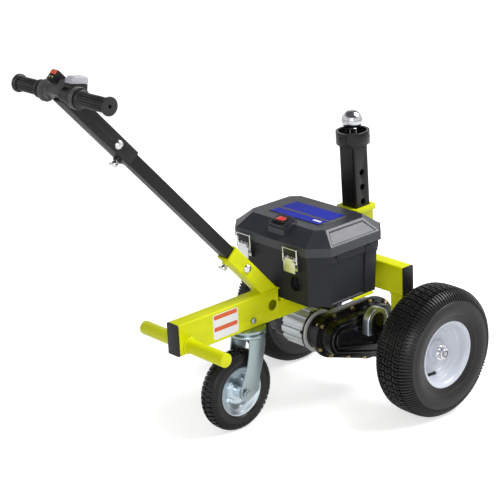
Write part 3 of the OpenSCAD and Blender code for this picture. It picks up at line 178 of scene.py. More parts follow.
class Paint:
    def __init__(self, name, **sockets):
        self.material = bpy.data.materials.new(name)
        self.material.use_nodes = True
        self.tree = self.material.node_tree
        self.shader = self.tree.nodes["Principled BSDF"]
        for key, value in sockets.items():
            self.feed(self.shader.inputs[key.replace("_", " ").title().replace("Ior", "IOR")], value)

    def feed(self, socket, value):
        if isinstance(value, Field):
            self.tree.links.new(value.out, socket)
        else:
            socket.default_value = value

    def node(self, kind, settings=None, inputs=None, out=0):
        new = self.tree.nodes.new(kind)
        for key, value in (settings or {}).items():
            setattr(new, key, value)
        for key, value in (inputs or {}).items():
            self.feed(new.inputs[key], value)
        return Field(self, new.outputs[out])

    def place(self, stretch=(1, 1, 1)):
        """Object coordinates in metres, stretched to draw a grain out along an axis."""
        here = self.node("ShaderNodeTexCoord", out=3)
        return self.node("ShaderNodeMapping", {}, {0: here, 3: stretch})

    def noise(self, size, detail=3.0, rough=0.5, stretch=(1, 1, 1)):
        """Soft noise whose blotches are about size millimetres across."""
        return self.node("ShaderNodeTexNoise", {}, {
            "Vector": self.place(stretch), "Scale": 1000.0 / size, "Detail": detail, "Roughness": rough})

    def cells(self, size, feature="F1", out=0):
        return self.node("ShaderNodeTexVoronoi", {"feature": feature}, {
            "Vector": self.place(), "Scale": 1000.0 / size}, out)

    def blend(self, share, first, second):
        colours = [(*c, 1.0) if isinstance(c, tuple) and len(c) == 3 else c for c in (first, second)]
        return self.node("ShaderNodeMix", {"data_type": "RGBA"}, {0: share, 6: colours[0], 7: colours[1]}, 2)

    def bump(self, height, depth):
        """Relief from a height that runs from 0 to 1 and stands for depth millimetres."""
        bumped = self.node("ShaderNodeBump", {}, {"Height": height, "Strength": 1.0, "Distance": depth * 0.001})
        self.feed(self.shader.inputs["Normal"], bumped)

    def colour(self, value):
        self.feed(self.shader.inputs["Base Color"], value)

    def roughness(self, value):
        self.feed(self.shader.inputs["Roughness"], value)


def tone(colour, factor):
    return tuple(min(1.0, c * factor) for c in colour)


# %% [markdown]
# Painted steel is never one flat colour. Powder coat has a faint orange peel, a few millimetres across, and
# the sheen wanders with it. The lime paint is glossier and gets a thin clear layer, while the black coat on
# the tubes is finer and duller.


# %% Paints
def painted(name, colour, roughness, peel_size, peel_depth, coat, mottle=0.05, shine=0.5):
    paint = Paint(name, roughness=roughness, coat_weight=coat, coat_roughness=0.12, specular_ior_level=shine)
    wander = paint.noise(38.0, 2.0)
    peel = paint.noise(peel_size, 2.0)
    dust = paint.noise(1.1, 1.0).ramp(0.62, 0.8)
    paint.colour(paint.blend(wander, tone(colour, 1 - mottle), tone(colour, 1 + mottle)))
    paint.roughness(wander * 0.08 + dust * 0.08 + (roughness - 0.06))
    paint.bump(peel, peel_depth)
    return paint.material


LIME = (0.665, 0.70, 0.001)
lime_paint = painted("lime_paint", LIME, 0.4, 4.0, 0.05, 0.04, 0.05, 0.25)
black_paint = painted("black_paint", (0.006, 0.0062, 0.006), 0.4, 1.6, 0.035, 0.0, 0.2, 0.3)
rim_paint = painted("rim_paint", (0.59, 0.62, 0.69), 0.34, 3.0, 0.035, 0.25, 0.03)
gloss_black = painted("gloss_black", (0.004, 0.004, 0.005), 0.22, 2.6, 0.09, 0.12, 0.25, 0.35)


# %% [markdown]
# Plastics are told apart by their grain. The box has the fine leather grain of a tool case, which cells with
# soft borders give. Small fittings are smoother. Each keeps a little wander in its sheen, as moulded parts do.


# %% Plastics and rubber
def moulded(name, colour, roughness, grain_size, grain_depth, mottle=0.08, shine=0.5):
    paint = Paint(name, roughness=roughness, specular_ior_level=shine)
    wander = paint.noise(30.0, 3.0)
    grain = paint.cells(grain_size).ramp(0.05, 0.6)
    fine = paint.noise(grain_size * 0.6, 2.0)
    paint.colour(paint.blend(wander, tone(colour, 1 - mottle), tone(colour, 1 + mottle)))
    paint.roughness(wander * 0.12 + fine * 0.08 + (roughness - 0.1))
    paint.bump(grain * 0.7 + fine * 0.3, grain_depth)
    return paint.material


box_plastic = moulded("box_plastic", (0.014, 0.015, 0.018), 0.5, 1.3, 0.06, 0.12, 0.28)
lid_plastic = moulded("lid_plastic", (0.02, 0.022, 0.03), 0.38, 2.0, 0.1, 0.25, 0.6)
head_plastic = moulded("head_plastic", (0.085, 0.085, 0.088), 0.4, 0.7, 0.02, 0.08, 0.4)
black_plastic = moulded("black_plastic", (0.008, 0.008, 0.009), 0.42, 0.7, 0.02, 0.08, 0.35)
red_plastic = moulded("red_plastic", (0.62, 0.018, 0.014), 0.28, 1.4, 0.01, 0.05)
coral_plastic = moulded("coral_plastic", (0.86, 0.11, 0.06), 0.34, 1.4, 0.01, 0.05)
silver_plastic = moulded("silver_plastic", (0.46, 0.47, 0.5), 0.3, 1.2, 0.01, 0.04)
white_label = moulded("white_label", (0.8, 0.8, 0.8), 0.4, 0.8, 0.004, 0.02)
orange_label = moulded("orange_label", (0.68, 0.11, 0.015), 0.4, 0.8, 0.004, 0.04)
blue_label = moulded("blue_label", (0.002, 0.013, 0.34), 0.4, 0.8, 0.004, 0.08, 0.08)
dark_label = moulded("dark_label", (0.008, 0.009, 0.02), 0.32, 0.8, 0.004, 0.1)
cream_plastic = moulded("cream_plastic", (0.34, 0.34, 0.2), 0.35, 0.8, 0.004, 0.05)


def rubbery(name, colour, roughness, bloom):
    """Black rubber with a dusty bloom that gathers in patches."""
    paint = Paint(name, roughness=roughness, specular_ior_level=0.3)
    patch = paint.noise(26.0, 4.0, 0.6)
    grain = paint.noise(0.9, 3.0, 0.6)
    scuff = paint.noise(7.0, 3.0, 0.7, (1, 0.3, 1)).ramp(0.55, 0.75)
    base = paint.blend(patch, tone(colour, 0.8), tone(colour, 1.25))
    paint.colour(paint.blend(scuff * bloom, base, (0.024, 0.024, 0.025)))
    paint.roughness(patch * 0.14 + scuff * 0.1 + (roughness - 0.1))
    paint.bump(grain, 0.05)
    return paint.material


tyre_rubber = rubbery("tyre_rubber", (0.0125, 0.0125, 0.0135), 0.37, 0.25)
grip_rubber = rubbery("grip_rubber", (0.026, 0.026, 0.027), 0.38, 0.2)


# %% [markdown]
# Bare metals differ in how they were made. Rolled zinc plate shows faint spangle and a green to blue cast,
# stainless sheet is brushed along one way, cast alloy is grainy, and the hitch ball is polished chrome.


# %% Metals
def brushed(name, colour, roughness, stretch, streak=0.18, depth=0.006):
    paint = Paint(name, metallic=1.0, roughness=roughness)
    lines = paint.noise(0.8, 3.0, 0.6, stretch)
    cloud = paint.noise(16.0, 2.0)
    share = lines * 0.6 + cloud * 0.4
    paint.colour(paint.blend(share, tone(colour, 1 - streak), tone(colour, 1 + streak * 0.5)))
    paint.roughness(lines * 0.16 + cloud * 0.1 + (roughness - 0.13))
    paint.bump(lines, depth)
    return paint.material


def plated(name, colour, tint, roughness):
    """Zinc plate: soft crystal cells and a passivated tint that comes and goes."""
    paint = Paint(name, metallic=1.0, roughness=roughness)
    spangle = paint.cells(5.5, out=1)
    level = paint.node("ShaderNodeRGBToBW", {}, {0: spangle})
    cloud = paint.noise(22.0, 3.0).ramp(0.35, 0.7)
    base = paint.blend(level * 0.5 + 0.2, tone(colour, 0.93), colour)
    paint.colour(paint.blend(cloud * 0.5, base, tint))
    paint.roughness(level * 0.05 + cloud * 0.08 + (roughness - 0.06))
    paint.bump(paint.noise(6.0, 2.0), 0.012)
    return paint.material


def cast(name, colour, roughness, grain, depth, metallic=1.0):
    paint = Paint(name, metallic=metallic, roughness=roughness)
    pits = paint.noise(grain, 4.0, 0.7)
    cloud = paint.noise(24.0, 3.0)
    paint.colour(paint.blend(pits * 0.5 + cloud * 0.5, tone(colour, 0.75), tone(colour, 1.15)))
    paint.roughness(pits * 0.2 + cloud * 0.1 + (roughness - 0.15))
    paint.bump(pits, depth)
    return paint.material


stainless = brushed("stainless", (0.72, 0.73, 0.72), 0.27, (1, 1, 0.06))
bolt_steel = brushed("bolt_steel", (0.75, 0.76, 0.78), 0.2, (1, 0.2, 1), 0.1)
machined = brushed("machined", (0.5, 0.51, 0.53), 0.3, (1, 0.08, 1))
zinc = plated("zinc", (0.39, 0.46, 0.5), (0.37, 0.47, 0.43), 0.32)
wheel_zinc = plated("wheel_zinc", (0.7, 0.78, 0.84), (0.58, 0.69, 0.76), 0.32)
brass_zinc = plated("brass_zinc", (0.62, 0.48, 0.22), (0.5, 0.42, 0.26), 0.34)
motor_alloy = cast("motor_alloy", (0.7, 0.74, 0.76), 0.38, 1.6, 0.05, 0.7)
ring_alloy = cast("ring_alloy", (0.56, 0.57, 0.56), 0.5, 1.6, 0.05, 0.4)
cast_grey = cast("cast_grey", (0.62, 0.66, 0.74), 0.34, 1.3, 0.08)
laminated = cast("laminated", (0.3, 0.2, 0.12), 0.5, 0.8, 0.05)
chrome = brushed("chrome", (0.62, 0.63, 0.65), 0.16, (1, 1, 1), 0.04, 0.002)
latch_steel = brushed("latch_steel", (0.86, 0.87, 0.88), 0.42, (1, 1, 0.06), 0.08)
print("materials:", len(bpy.data.materials))

# %% [markdown]
# Two ways of making a piece come back all the time. A new form is built in a bmesh in plain millimetres, in
# the place it belongs to, and only its finished mesh is brought to metres. A form that the construction
# already holds is copied, merged and given softly broken edges, because a real edge always catches light.


# %% Finishing a piece
def finish_piece(name, bm, place, material, body, stands_for=(), smooth=38):
    mesh = bpy.data.meshes.new(name)
    bm.to_mesh(mesh)
    bm.free()
    mesh.transform(MM @ place)
    if place.determinant() < 0:
        mesh.flip_normals()
    mesh.materials.append(material)
    mesh.shade_smooth()
    mesh.set_sharp_from_angle(angle=math.radians(smooth))
    piece = bpy.data.objects.new(name, mesh)
    bpy.context.scene.collection.objects.link(piece)
    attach(piece, body)
    if stands_for:
        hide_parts(*stands_for)
    return piece


def merged_copy(node):
    bm = bmesh.new()
    bm.from_mesh(nodes[node].data)
    bmesh.ops.remove_doubles(bm, verts=bm.verts, dist=0.00001)
    bmesh.ops.dissolve_limit(bm, angle_limit=math.radians(0.6), verts=bm.verts, edges=bm.edges)
    return bm


def break_edges(bm, width, segments=2, least_angle=32):
    """Bevels every edge that is sharper than least_angle, in the bmesh's own unit."""
    sharp = [e for e in bm.edges if e.is_manifold and e.calc_face_angle(0) > math.radians(least_angle)]
    bmesh.ops.bevel(bm, geom=sharp, offset=width, offset_type="OFFSET", segments=segments, profile=0.5,
                    affect="EDGES", clamp_overlap=True, material=-1)


def dress(node, material, width=0.8, segments=2, smooth=38):
    """Puts a copy with softly broken edges in a node's place, in the node's own metres."""
    bm = merged_copy(node)
    if width:
        break_edges(bm, width * 0.001, segments)
    return finish_piece(node + "_dressed", bm, MM.inverted(), material, nodes[node]["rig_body"], (node,),
                        smooth)


def repaint(node, material):
    nodes[node].data.materials.clear()
    nodes[node].data.materials.append(material)


# %% [markdown]
# Most machine parts are turned or cut from plate. A lathe spins a profile of (radius, height) points, and a
# plate extrudes an outline. Both use the mesh operators, so the walls close by themselves.


# %% Lathe, plate and rod
def lathe(bm, profile, steps=64, closed=True):
    verts = [bm.verts.new((r, 0, z)) for r, z in profile]
    edges = [bm.edges.new(pair) for pair in zip(verts, verts[1:])]
    if closed:
        edges.append(bm.edges.new((verts[-1], verts[0])))
    made = bmesh.ops.spin(bm, geom=verts + edges, cent=(0, 0, 0), axis=(0, 0, 1), dvec=(0, 0, 0),
                          angle=2 * math.pi, steps=steps, use_merge=True, use_duplicate=False)
    bmesh.ops.remove_doubles(bm, verts=bm.verts, dist=0.01)
    bmesh.ops.recalc_face_normals(bm, faces=bm.faces)
    return made


def plate(bm, outline, low, high):
    verts = [bm.verts.new((x, y, low)) for x, y in outline]
    face = bm.faces.new(verts)
    made = bmesh.ops.extrude_face_region(bm, geom=[face])["geom"]
    top = [v for v in made if isinstance(v, bmesh.types.BMVert)]
    bmesh.ops.translate(bm, vec=(0, 0, high - low), verts=top)
    bmesh.ops.recalc_face_normals(bm, faces=bm.faces)
    return top


def rod(bm, radius, low, high, place=Matrix(), segments=24, tip=None):
    middle = place @ shift(0, 0, (low + high) / 2)
    made = bmesh.ops.create_cone(bm, cap_ends=True, radius1=radius, radius2=radius if tip is None else tip,
                                 depth=high - low, segments=segments, matrix=middle)
    return made["verts"]


def copy_into(bm, other, place=Matrix()):
    """Adds another bmesh at a place, and frees it."""
    mesh = bpy.data.meshes.new("spare")
    other.to_mesh(mesh)
    other.free()
    mesh.transform(place)
    bm.from_mesh(mesh)
    bpy.data.meshes.remove(mesh)


def add_plate(bm, outline, low, high, edge, place=Matrix(), segments=2, least_angle=32):
    """Adds a plate with broken edges, at a place."""
    block = bmesh.new()
    plate(block, outline, low, high)
    break_edges(block, edge, segments, least_angle)
    copy_into(bm, block, place)


def add_hexagon(bm, radius, low, high, edge, place=Matrix()):
    """Adds a nut or a bolt head with broken edges, at a place."""
    block = bmesh.new()
    rod(block, radius, low, high, segments=6)
    break_edges(block, edge, 2)
    copy_into(bm, block, place)


def upright(x0, x1, y0, y1):
    """Outline of a rectangle between two corners."""
    return [(x0, y0), (x1, y0), (x1, y1), (x0, y1)]


def arc(cx, cy, r, start, end, steps):
    """Points on an arc, angles in degrees."""
    turns = [math.radians(start + (end - start) * i / steps) for i in range(steps + 1)]
    return [(cx + r * math.cos(a), cy + r * math.sin(a)) for a in turns]


def rounded(x, y, r, steps=5):
    """Outline of a rectangle with round corners, centred on zero."""
    points = []
    for i, (sx, sy) in enumerate([(1, 1), (-1, 1), (-1, -1), (1, -1)]):
        points += arc(sx * (x / 2 - r), sy * (y / 2 - r), r, 90 * i, 90 * i + 90, steps)
    return points


def sweep(bm, path, radius, sides=10, closed=False):
    """A tube along the points of a path, radius a number or one per point. Its ends are capped."""
    points = [Vector(p) for p in path]
    count = len(points)
    sizes = radius if isinstance(radius, (list, tuple)) else [radius] * count
    turned = Matrix.Identity(3)
    last = None
    rings = []
    for i, point in enumerate(points):
        ahead = points[(i + 1) % count] if closed or i < count - 1 else point
        behind = points[i - 1] if closed or i > 0 else point
        along = (ahead - behind).normalized()
        if last is None:
            turned = along.to_track_quat("Z", "X").to_matrix()
        else:
            turned = last.rotation_difference(along).to_matrix() @ turned
        last = along
        ring = bmesh.ops.create_circle(bm, cap_ends=False, radius=sizes[i], segments=sides,
                                       matrix=Matrix.Translation(point) @ turned.to_4x4())["verts"]
        rings.append(ring)
    pairs = list(zip(rings, rings[1:])) + ([(rings[-1], rings[0])] if closed else [])
    for a, b in pairs:
        loops = list({e for v in a for e in v.link_edges if e.other_vert(v) in a})
        loops += list({e for v in b for e in v.link_edges if e.other_vert(v) in b})
        bmesh.ops.bridge_loops(bm, edges=loops)
    if not closed:
        for ring in (rings[0], rings[-1]):
            bmesh.ops.contextual_create(bm, geom=ring)
    bmesh.ops.recalc_face_normals(bm, faces=bm.faces)


# %% [markdown]
# A tyre is a carcass with rubber blocks on it. The carcass is one lathed profile. Each block is a flat outline
# in millimetres across and along the tread, extruded, cut where it has to bend, and then wrapped onto the
# profile. One block of each kind is made, and a spin copies it round the wheel.


# %% Wrapping a block onto a carcass
def walk(profile, across):
    """Point and outward normal on a half profile, at a distance across from its crown."""
    side = -1 if across < 0 else 1
    left = abs(across)
    for (r0, z0), (r1, z1) in zip(profile, profile[1:]):
        length = math.hypot(r1 - r0, z1 - z0)
        if left <= length or (r1, z1) == profile[-1]:
            share = left / length
            point = (r0 + (r1 - r0) * share, (z0 + (z1 - z0) * share) * side)
            return point, ((z1 - z0) / length, -(r1 - r0) / length * side)
        left -= length


BLOCK_DEEP = 6.0


def tread_block(bm, outline, profile, radius, height, cuts, count, angle=0.0, edge=0.5):
    """height(across) is how far the block stands proud of the carcass."""
    block = bmesh.new()
    top = plate(block, outline, 0.0, BLOCK_DEEP)
    rims = [e for e in block.edges if all(v in top for v in e.verts)]
    bmesh.ops.bevel(block, geom=rims, offset=edge, offset_type="OFFSET", segments=1, profile=0.5,
                    affect="EDGES", clamp_overlap=True, material=-1)
    for cut in cuts:
        everything = block.verts[:] + block.edges[:] + block.faces[:]
        bmesh.ops.bisect_plane(block, geom=everything, dist=0.0001, plane_co=(cut, 0, 0), plane_no=(1, 0, 0))
    for v in block.verts:
        (r, z), (nr, nz) = walk(profile, v.co.x)
        lift = -1.2 + v.co.z / BLOCK_DEEP * (height(v.co.x) + 1.2)
        a = v.co.y / radius + angle
        v.co = ((r + nr * lift) * math.cos(a), (r + nr * lift) * math.sin(a), z + nz * lift)
    bmesh.ops.recalc_face_normals(block, faces=block.faces)
    everything = block.verts[:] + block.edges[:] + block.faces[:]
    bmesh.ops.spin(block, geom=everything, cent=(0, 0, 0), axis=(0, 0, 1), dvec=(0, 0, 0),
                   angle=2 * math.pi * (count - 1) / count, steps=count - 1, use_merge=False, use_duplicate=True)
    copy_into(bm, block)


def both_sides(profile):
    return [(r, -z) for r, z in reversed(profile[1:])] + profile


# %% [markdown]
# The driven tyres are turf tyres, 13 inches high: a row of S-shaped blocks on the crown, a hooked block on
# each side of it, and close bars that run over the shoulder and die out on the sidewall. A thin moulded line
# closes the tread, and the sidewall below it is smooth.

# %% Driven tyres
DRIVE_CARCASS = [
    (159.5, 0), (159.4, 10), (158.9, 22), (157.2, 33), (153.6, 42), (148.2, 49), (142, 53.6), (138.4, 55.6),
    (137.6, 56.9), (136.6, 56.6), (129, 58.2), (120, 58.6), (112, 57.6), (105, 55.4), (99.6, 52.9), (97.6, 52.8),
    (95.8, 51.0), (91, 48.6), (87.4, 47.2), (85.6, 45.6), (84.4, 43.4), (77.5, 43.2)]
PITCHES = 58


def drive_lift(across):
    return 5.5 - 3.6 * max(0.0, min(1.0, (abs(across) - 34) / 26))


def wheel_side(side):
    """The word, the body and the place of a driven wheel. Its +Z runs outwards."""
    word = "left" if side > 0 else "right"
    return word, word + "_wheel", sideways(0, WHEEL_R, side) @ shift(0, 0, TRACK_HALF)


def drive_tyre(side):
    word, body, place = wheel_side(side)
    bm = bmesh.new()
    lathe(bm, both_sides(DRIVE_CARCASS), 116, closed=True)
    s_block = [(-9, 6.6), (9, 6.6), (9, 3.4), (-5, 3.4), (-5, 1.6), (9, 1.6), (9, -6.6), (-9, -6.6),
               (-9, -3.4), (5, -3.4), (5, -1.6), (-9, -1.6)]
    tread_block(bm, s_block, DRIVE_CARCASS, WHEEL_R, drive_lift, (-3, 3), PITCHES)
    for hand in (-1, 1):
        hook = [(13, 6.8), (29, 6.8), (29, 2.6), (18, 2.6), (18, -6.8), (13, -6.8)]
        stub = [(21, -0.4), (29, -0.4), (29, -5.2), (21, -5.2)]
        bars = [[(32, s - 2.7), (63, s - 2.3), (63, s + 2.3), (32, s + 2.7)] for s in (-4.45, 4.45)]
        for outline in [hook, stub] + bars:
            mirrored = [(t * hand, s) for t, s in outline]
            cuts = [c * hand for c in (22, 38, 44, 50, 56)]
            tread_block(bm, mirrored, DRIVE_CARCASS, WHEEL_R, drive_lift, cuts, PITCHES, hand * 0.02)
    return finish_piece(word + "_turf_tyre", bm, place, tyre_rubber, body, (word + "_tyre",), 30)


for side in (1, -1):
    made = drive_tyre(side)
    print(made.name, len(made.data.polygons), "faces")

# %% [markdown]
# The rim is pressed from sheet and painted silver white. Seen from outside it falls in steps from a rolled
# lip to a flat disc with a raised hub. The profile runs out along the outer skin and comes back along its back,
# so the sheet gets its real thickness. A rubber valve stem leans out of the barrel.

# %% Rims, valves and axle nuts
RIM_SKIN = [
    (76.0, -44), (80, -47.0), (84.6, -46.6), (85.0, -44.6), (84.0, -44.2), (77.0, -40.0), (75.6, -30), (73.4, -20),
    (73.4, 20), (75.6, 30), (77.0, 40.0), (84.0, 44.2), (85.0, 44.9), (84.9, 46.6), (83.2, 47.2), (81.2, 46.6),
    (78.6, 44.0), (75.0, 41.6), (73.2, 36), (71.4, 30), (70.6, 25), (67.6, 21.6), (64.6, 20.6), (63.2, 18.8),
    (62.4, 15.6), (60, 13.2), (56.6, 12.6), (54.6, 10.8), (53.6, 8.0), (50.4, 6.2), (40, 5.4), (31, 5.4),
    (28.6, 7.0), (27.2, 11.0), (24.6, 13.0), (20, 13.6), (18.5, 24.0), (10.1, 24.0), (10.1, -30), (20, -30),
    (20, 2.4), (50.4, 3.2), (54, 4.6), (60, 9.6), (66, 17.2), (69.4, 20), (70.6, 10), (70.6, -18), (73, -31),
    (74.5, -41)]


def rim(side):
    word, body, place = wheel_side(side)
    bm = bmesh.new()
    lathe(bm, RIM_SKIN, 96)
    finish_piece(word + "_pressed_rim", bm, place, rim_paint, body, (word + "_rim",), 50)
    valve = bmesh.new()
    stem = turn(-135, "Z") @ shift(66, 0, 22) @ turn(-38, "Y")
    lathe(valve, [(0, -4), (6.4, -4), (6.0, 0), (4.2, 2), (3.6, 9), (3.4, 14), (4.1, 14.6), (4.1, 22), (3.3, 23),
                  (0, 23)], 20, closed=False)
    bmesh.ops.transform(valve, matrix=stem, verts=valve.verts)
    finish_piece(word + "_pressed_rim_valve", valve, place, grip_rubber, body, ())


def shaft_end(side):
    """The nut and the drilled end of the half shaft, with the washer under them."""
    word, body, place = wheel_side(side)
    bm = bmesh.new()
    lathe(bm, [(10.2, 24.1), (19, 24.1), (19, 26.4), (18.4, 27), (10.2, 27)], 40)
    add_hexagon(bm, 15, 27.1, 36.7, 0.9)
    lathe(bm, [(0, 30), (4.2, 30), (4.2, 39.2), (5.0, 40), (9.2, 40), (10, 39), (10, 30)], 32, closed=False)
    finish_piece(word + "_axle_nut", bm, place, bolt_steel, body, (), 30)
    repaint(word + "_shaft", machined)


for side in (1, -1):
    rim(side)
    shaft_end(side)
print("rims done")

# %% [markdown]
# The caster runs on a small pneumatic tyre with two rows of shoulder blocks and fine ribs beside them. Its
# wheel is two zinc plated dishes bolted together, and the bolts show round the hub barrel.

# %% Caster tyre and wheel
CASTER_CARCASS = [
    (97.4, 0), (97.0, 6), (95.6, 12), (92.6, 17.4), (88.6, 21), (84, 23.2), (80.6, 24.2), (79.8, 25.0),
    (78.6, 24.7), (73, 24.2), (68.4, 22.6), (66.4, 22.4), (64.4, 20.6), (62.6, 18.6), (61.6, 16.4), (57.0, 16.2)]
CASTER_BACK = SWIVEL_BACK + TRAIL
AXLE_Z = WHEEL_R + (CASTER_R - WHEEL_R + CASTER_BACK * math.sin(PITCH)) / math.cos(PITCH)
CASTER_PLACE = CHASSIS @ shift(-CASTER_BACK, 0, AXLE_Z) @ turn(90, "X")
CASTER_PITCHES = 46


def caster_lift(across):
    return 4.2 - 3.0 * max(0.0, min(1.0, (abs(across) - 13) / 13))


bm = bmesh.new()
lathe(bm, both_sides(CASTER_CARCASS), 96)
for hand in (-1, 1):
    block = [(2.0, -4.4), (13.6, -5.0), (15.6, -2.6), (15.6, 3.0), (9, 4.6), (2.0, 1.4)]
    tread_block(bm, [(t * hand, s) for t, s in block], CASTER_CARCASS, CASTER_R, caster_lift,
                (6 * hand, 11 * hand), CASTER_PITCHES, hand * 0.034, 0.4)
    for s in (-3.4, 3.4):
        rib = [(17.4, s - 2.2), (31, s - 1.4), (31, s + 1.4), (17.4, s + 2.2)]
        tread_block(bm, [(t * hand, q) for t, q in rib], CASTER_CARCASS, CASTER_R, caster_lift,
                    (21 * hand, 26 * hand), CASTER_PITCHES, hand * 0.034, 0.3)
finish_piece("caster_treaded_tyre", bm, CASTER_PLACE, tyre_rubber, "caster_roller", ("caster_tyre",),
             30)

DISH = [
    (17, -6), (17, -29.6), (14, -29.9), (6.1, -29.9), (6.1, 29.9), (14, 29.9), (17, 29.6), (17, 6), (22, 4.6),
    (33, 4.6), (38, 6.0), (41.6, 10.4), (46, 13.4), (51, 14.6), (54.4, 16.4), (57, 18.9), (61.8, 20.0),
    (62.3, 19.0), (61.9, 17.6), (58.2, 16.4), (56.4, 13), (56.4, -13), (58.2, -16.4), (61.9, -17.6),
    (62.3, -19.0), (61.8, -20.0), (57, -18.9), (54.4, -16.4), (51, -14.6), (46, -13.4), (41.6, -10.4),
    (38, -6.0), (33, -4.6), (22, -4.6)]
bm = bmesh.new()
lathe(bm, DISH, 72)
for i in range(4):
    for hand in (1, -1):
        seat = turn(90 * i + 45, "Z") @ shift(29, 0, 0)
        if hand < 0:
            seat = turn(180, "X") @ seat
        add_hexagon(bm, 6.4, 4.0, 9.4, 0.5, seat)
        rod(bm, 3.0, 5.0, 12.0, seat, segments=16)
finish_piece("caster_dished_wheel", bm, CASTER_PLACE, wheel_zinc, "caster_roller", ("caster_wheel",),
             40)

# %% [markdown]
# The fork is pressed plate. Its round crown carries the ball race, and each leg is bent down from it, widest
# at the top and trailing back to the axle. The legs have a rolled edge, so the outline is bevelled strongly.

# %% Fork and swivel plate
CROWN_Z = BEAM_Z - 5 - 12
FORK_HALF, LEG_T = 35.0, 4.5
FORK_PLACE = CHASSIS @ shift(-SWIVEL_BACK, 0, 0)


def fork_leg(bm, side):
    outline = [(-25, CROWN_Z + 1), (25, CROWN_Z + 1), (24.6, CROWN_Z - 16), (22.5, CROWN_Z - 31),
               (13.8, CROWN_Z - 68), (2, CROWN_Z - 104)]
    outline += arc(-16, AXLE_Z + 5, 16, 10, -50, 6) + arc(-40, AXLE_Z - 2, 21, -75, -180, 10)
    outline += [(-60, AXLE_Z + 10), (-48.5, CROWN_Z - 98), (-37, CROWN_Z - 67), (-31, CROWN_Z - 44),
                (-26.5, CROWN_Z - 18)]
    add_plate(bm, outline, -LEG_T / 2, LEG_T / 2, 1.2,
              shift(0, side * (FORK_HALF - LEG_T / 2), 0) @ turn(90, "X"), 3)


bm = bmesh.new()
for hand in (1, -1):
    fork_leg(bm, hand)
crown = bmesh.new()
lathe(crown, [(9.1, CROWN_Z - 5), (36, CROWN_Z - 5), (40.5, CROWN_Z - 3.6), (43, CROWN_Z - 0.6),
              (43, CROWN_Z + 3.6), (42.2, CROWN_Z + 5.2), (40.4, CROWN_Z + 5.7), (9.1, CROWN_Z + 5.7)], 72)
copy_into(bm, crown)
for hand in (1, -1):
    seat = shift(-TRAIL, hand * FORK_HALF, AXLE_Z) @ turn(-90 * hand, "X")
    head = bmesh.new()
    lathe(head, [(6, 0), (13.5, 0), (13.5, 1.6), (6, 1.6)], 32)
    add_hexagon(head, 11, 1.4, 7, 0.9)
    rod(head, 5.8, 3, 10.5 if hand < 0 else 7.6, segments=24)
    copy_into(bm, head, seat)
rod(bm, 6, -FORK_HALF, FORK_HALF, shift(-TRAIL, 0, AXLE_Z) @ turn(90, "X"))
finish_piece("caster_pressed_fork", bm, FORK_PLACE, zinc, "caster_swivel", ("caster_fork",), 35)
dress("caster_plate", zinc, 0.9)

# %% [markdown]
# The frame is rectangular tube, already rounded in the construction, so its parts only get their paint and a
# softly broken cut edge. The two tall ends of the beams are closed by plastic caps.

# %% Frame tubes
for node in ("main_beam", "cross_beam", "axle_legs", "mast_receiver", "battery_tray", "handle_socket"):
    dress(node, lime_paint, 0.7, 2)
dress("push_bar", lime_paint, 1.6, 3)
dress("end_caps", black_plastic, 0.9, 3)

# %% [markdown]
# Where tubes meet they are welded. A weld bead is a row of overlapping scales, which a tube with a rhythm in
# its radius gives. Its path follows the seam, and it is painted over with the frame.


# %% Weld beads
def along(corners, step=1.6, closed=False):
    """Points spaced evenly along straight stretches between corners."""
    points = []
    ends = corners + [corners[0]] if closed else corners
    for a, b in zip(ends, ends[1:]):
        a, b = Vector(a), Vector(b)
        count = max(2, int((b - a).length / step))
        points += [a.lerp(b, i / count) for i in range(count)]
    return points if closed else points + [Vector(corners[-1])]


def weld(bm, corners, size=2.3, closed=False):
    path = along(corners, 1.5, closed)
    sizes = [size * (1 + 0.16 * math.sin(i * 2.1) + 0.05 * math.sin(i * 0.7)) for i in range(len(path))]
    sweep(bm, path, sizes, 8, closed)


seams = bmesh.new()
foot = [Vector((x, y, 0)) for x, y in ((19.2, 19.2), (-19.2, 19.2), (-19.2, -19.2), (19.2, -19.2))]
up_column = Vector((-math.cos(HANDLE_ANGLE), 0, math.sin(HANDLE_ANGLE)))
normal = Vector((math.sin(HANDLE_ANGLE), 0, math.cos(HANDLE_ANGLE)))
socket_foot = []
for corner in foot:
    base = Vector((-FOOT_BACK, corner.y, BEAM_TOP)) + normal * corner.x
    base += up_column * ((BEAM_TOP - base.z) / up_column.z)
    socket_foot.append(base)
weld(seams, socket_foot, 2.4, True)
RECEIVER_HALF = 30.4
for hand in (1, -1):
    ends = [(CROSS_X + x, hand * RECEIVER_HALF, CROSS_TOP + 0.6) for x in (RECEIVER_HALF - 8, 8 - RECEIVER_HALF)]
    weld(seams, ends, 2.2)
for hand in (1, -1):
    flank = hand * BEAM_W / 2
    ring = [(-576 + x, flank + hand * 0.4, BEAM_Z + 19 + z) for x, z in arc(0, 0, 17.3, 0, 345, 46)]
    weld(seams, ring, 2.6, True)
    for x in (-15.0, 21.5):
        weld(seams, [(x, hand * leg_y, CROSS_Z - 0.2) for leg_y in (126, 166)], 2.2)
    weld(seams, [(-15.2, flank, z) for z in (CROSS_Z + 2, WHEEL_R + 155)], 2.2)
    weld(seams, [(x, flank, WHEEL_R + 154.6) for x in (-172, -106)], 2.0)
weld(seams, [(-NOTCH_REACH + 0.2, y, WHEEL_R + 155.4) for y in (1 - BEAM_W / 2, BEAM_W / 2 - 1)], 2.0)
finish_piece("frame_welds", seams, CHASSIS, lime_paint, "frame", (), 50)
print("frame done")

# %% [markdown]
# The steering column is two black tubes, one inside the other. Coach bolts with shallow domed heads and screws
# with a bent wire handle clamp them. The handles are swept along a short curve.

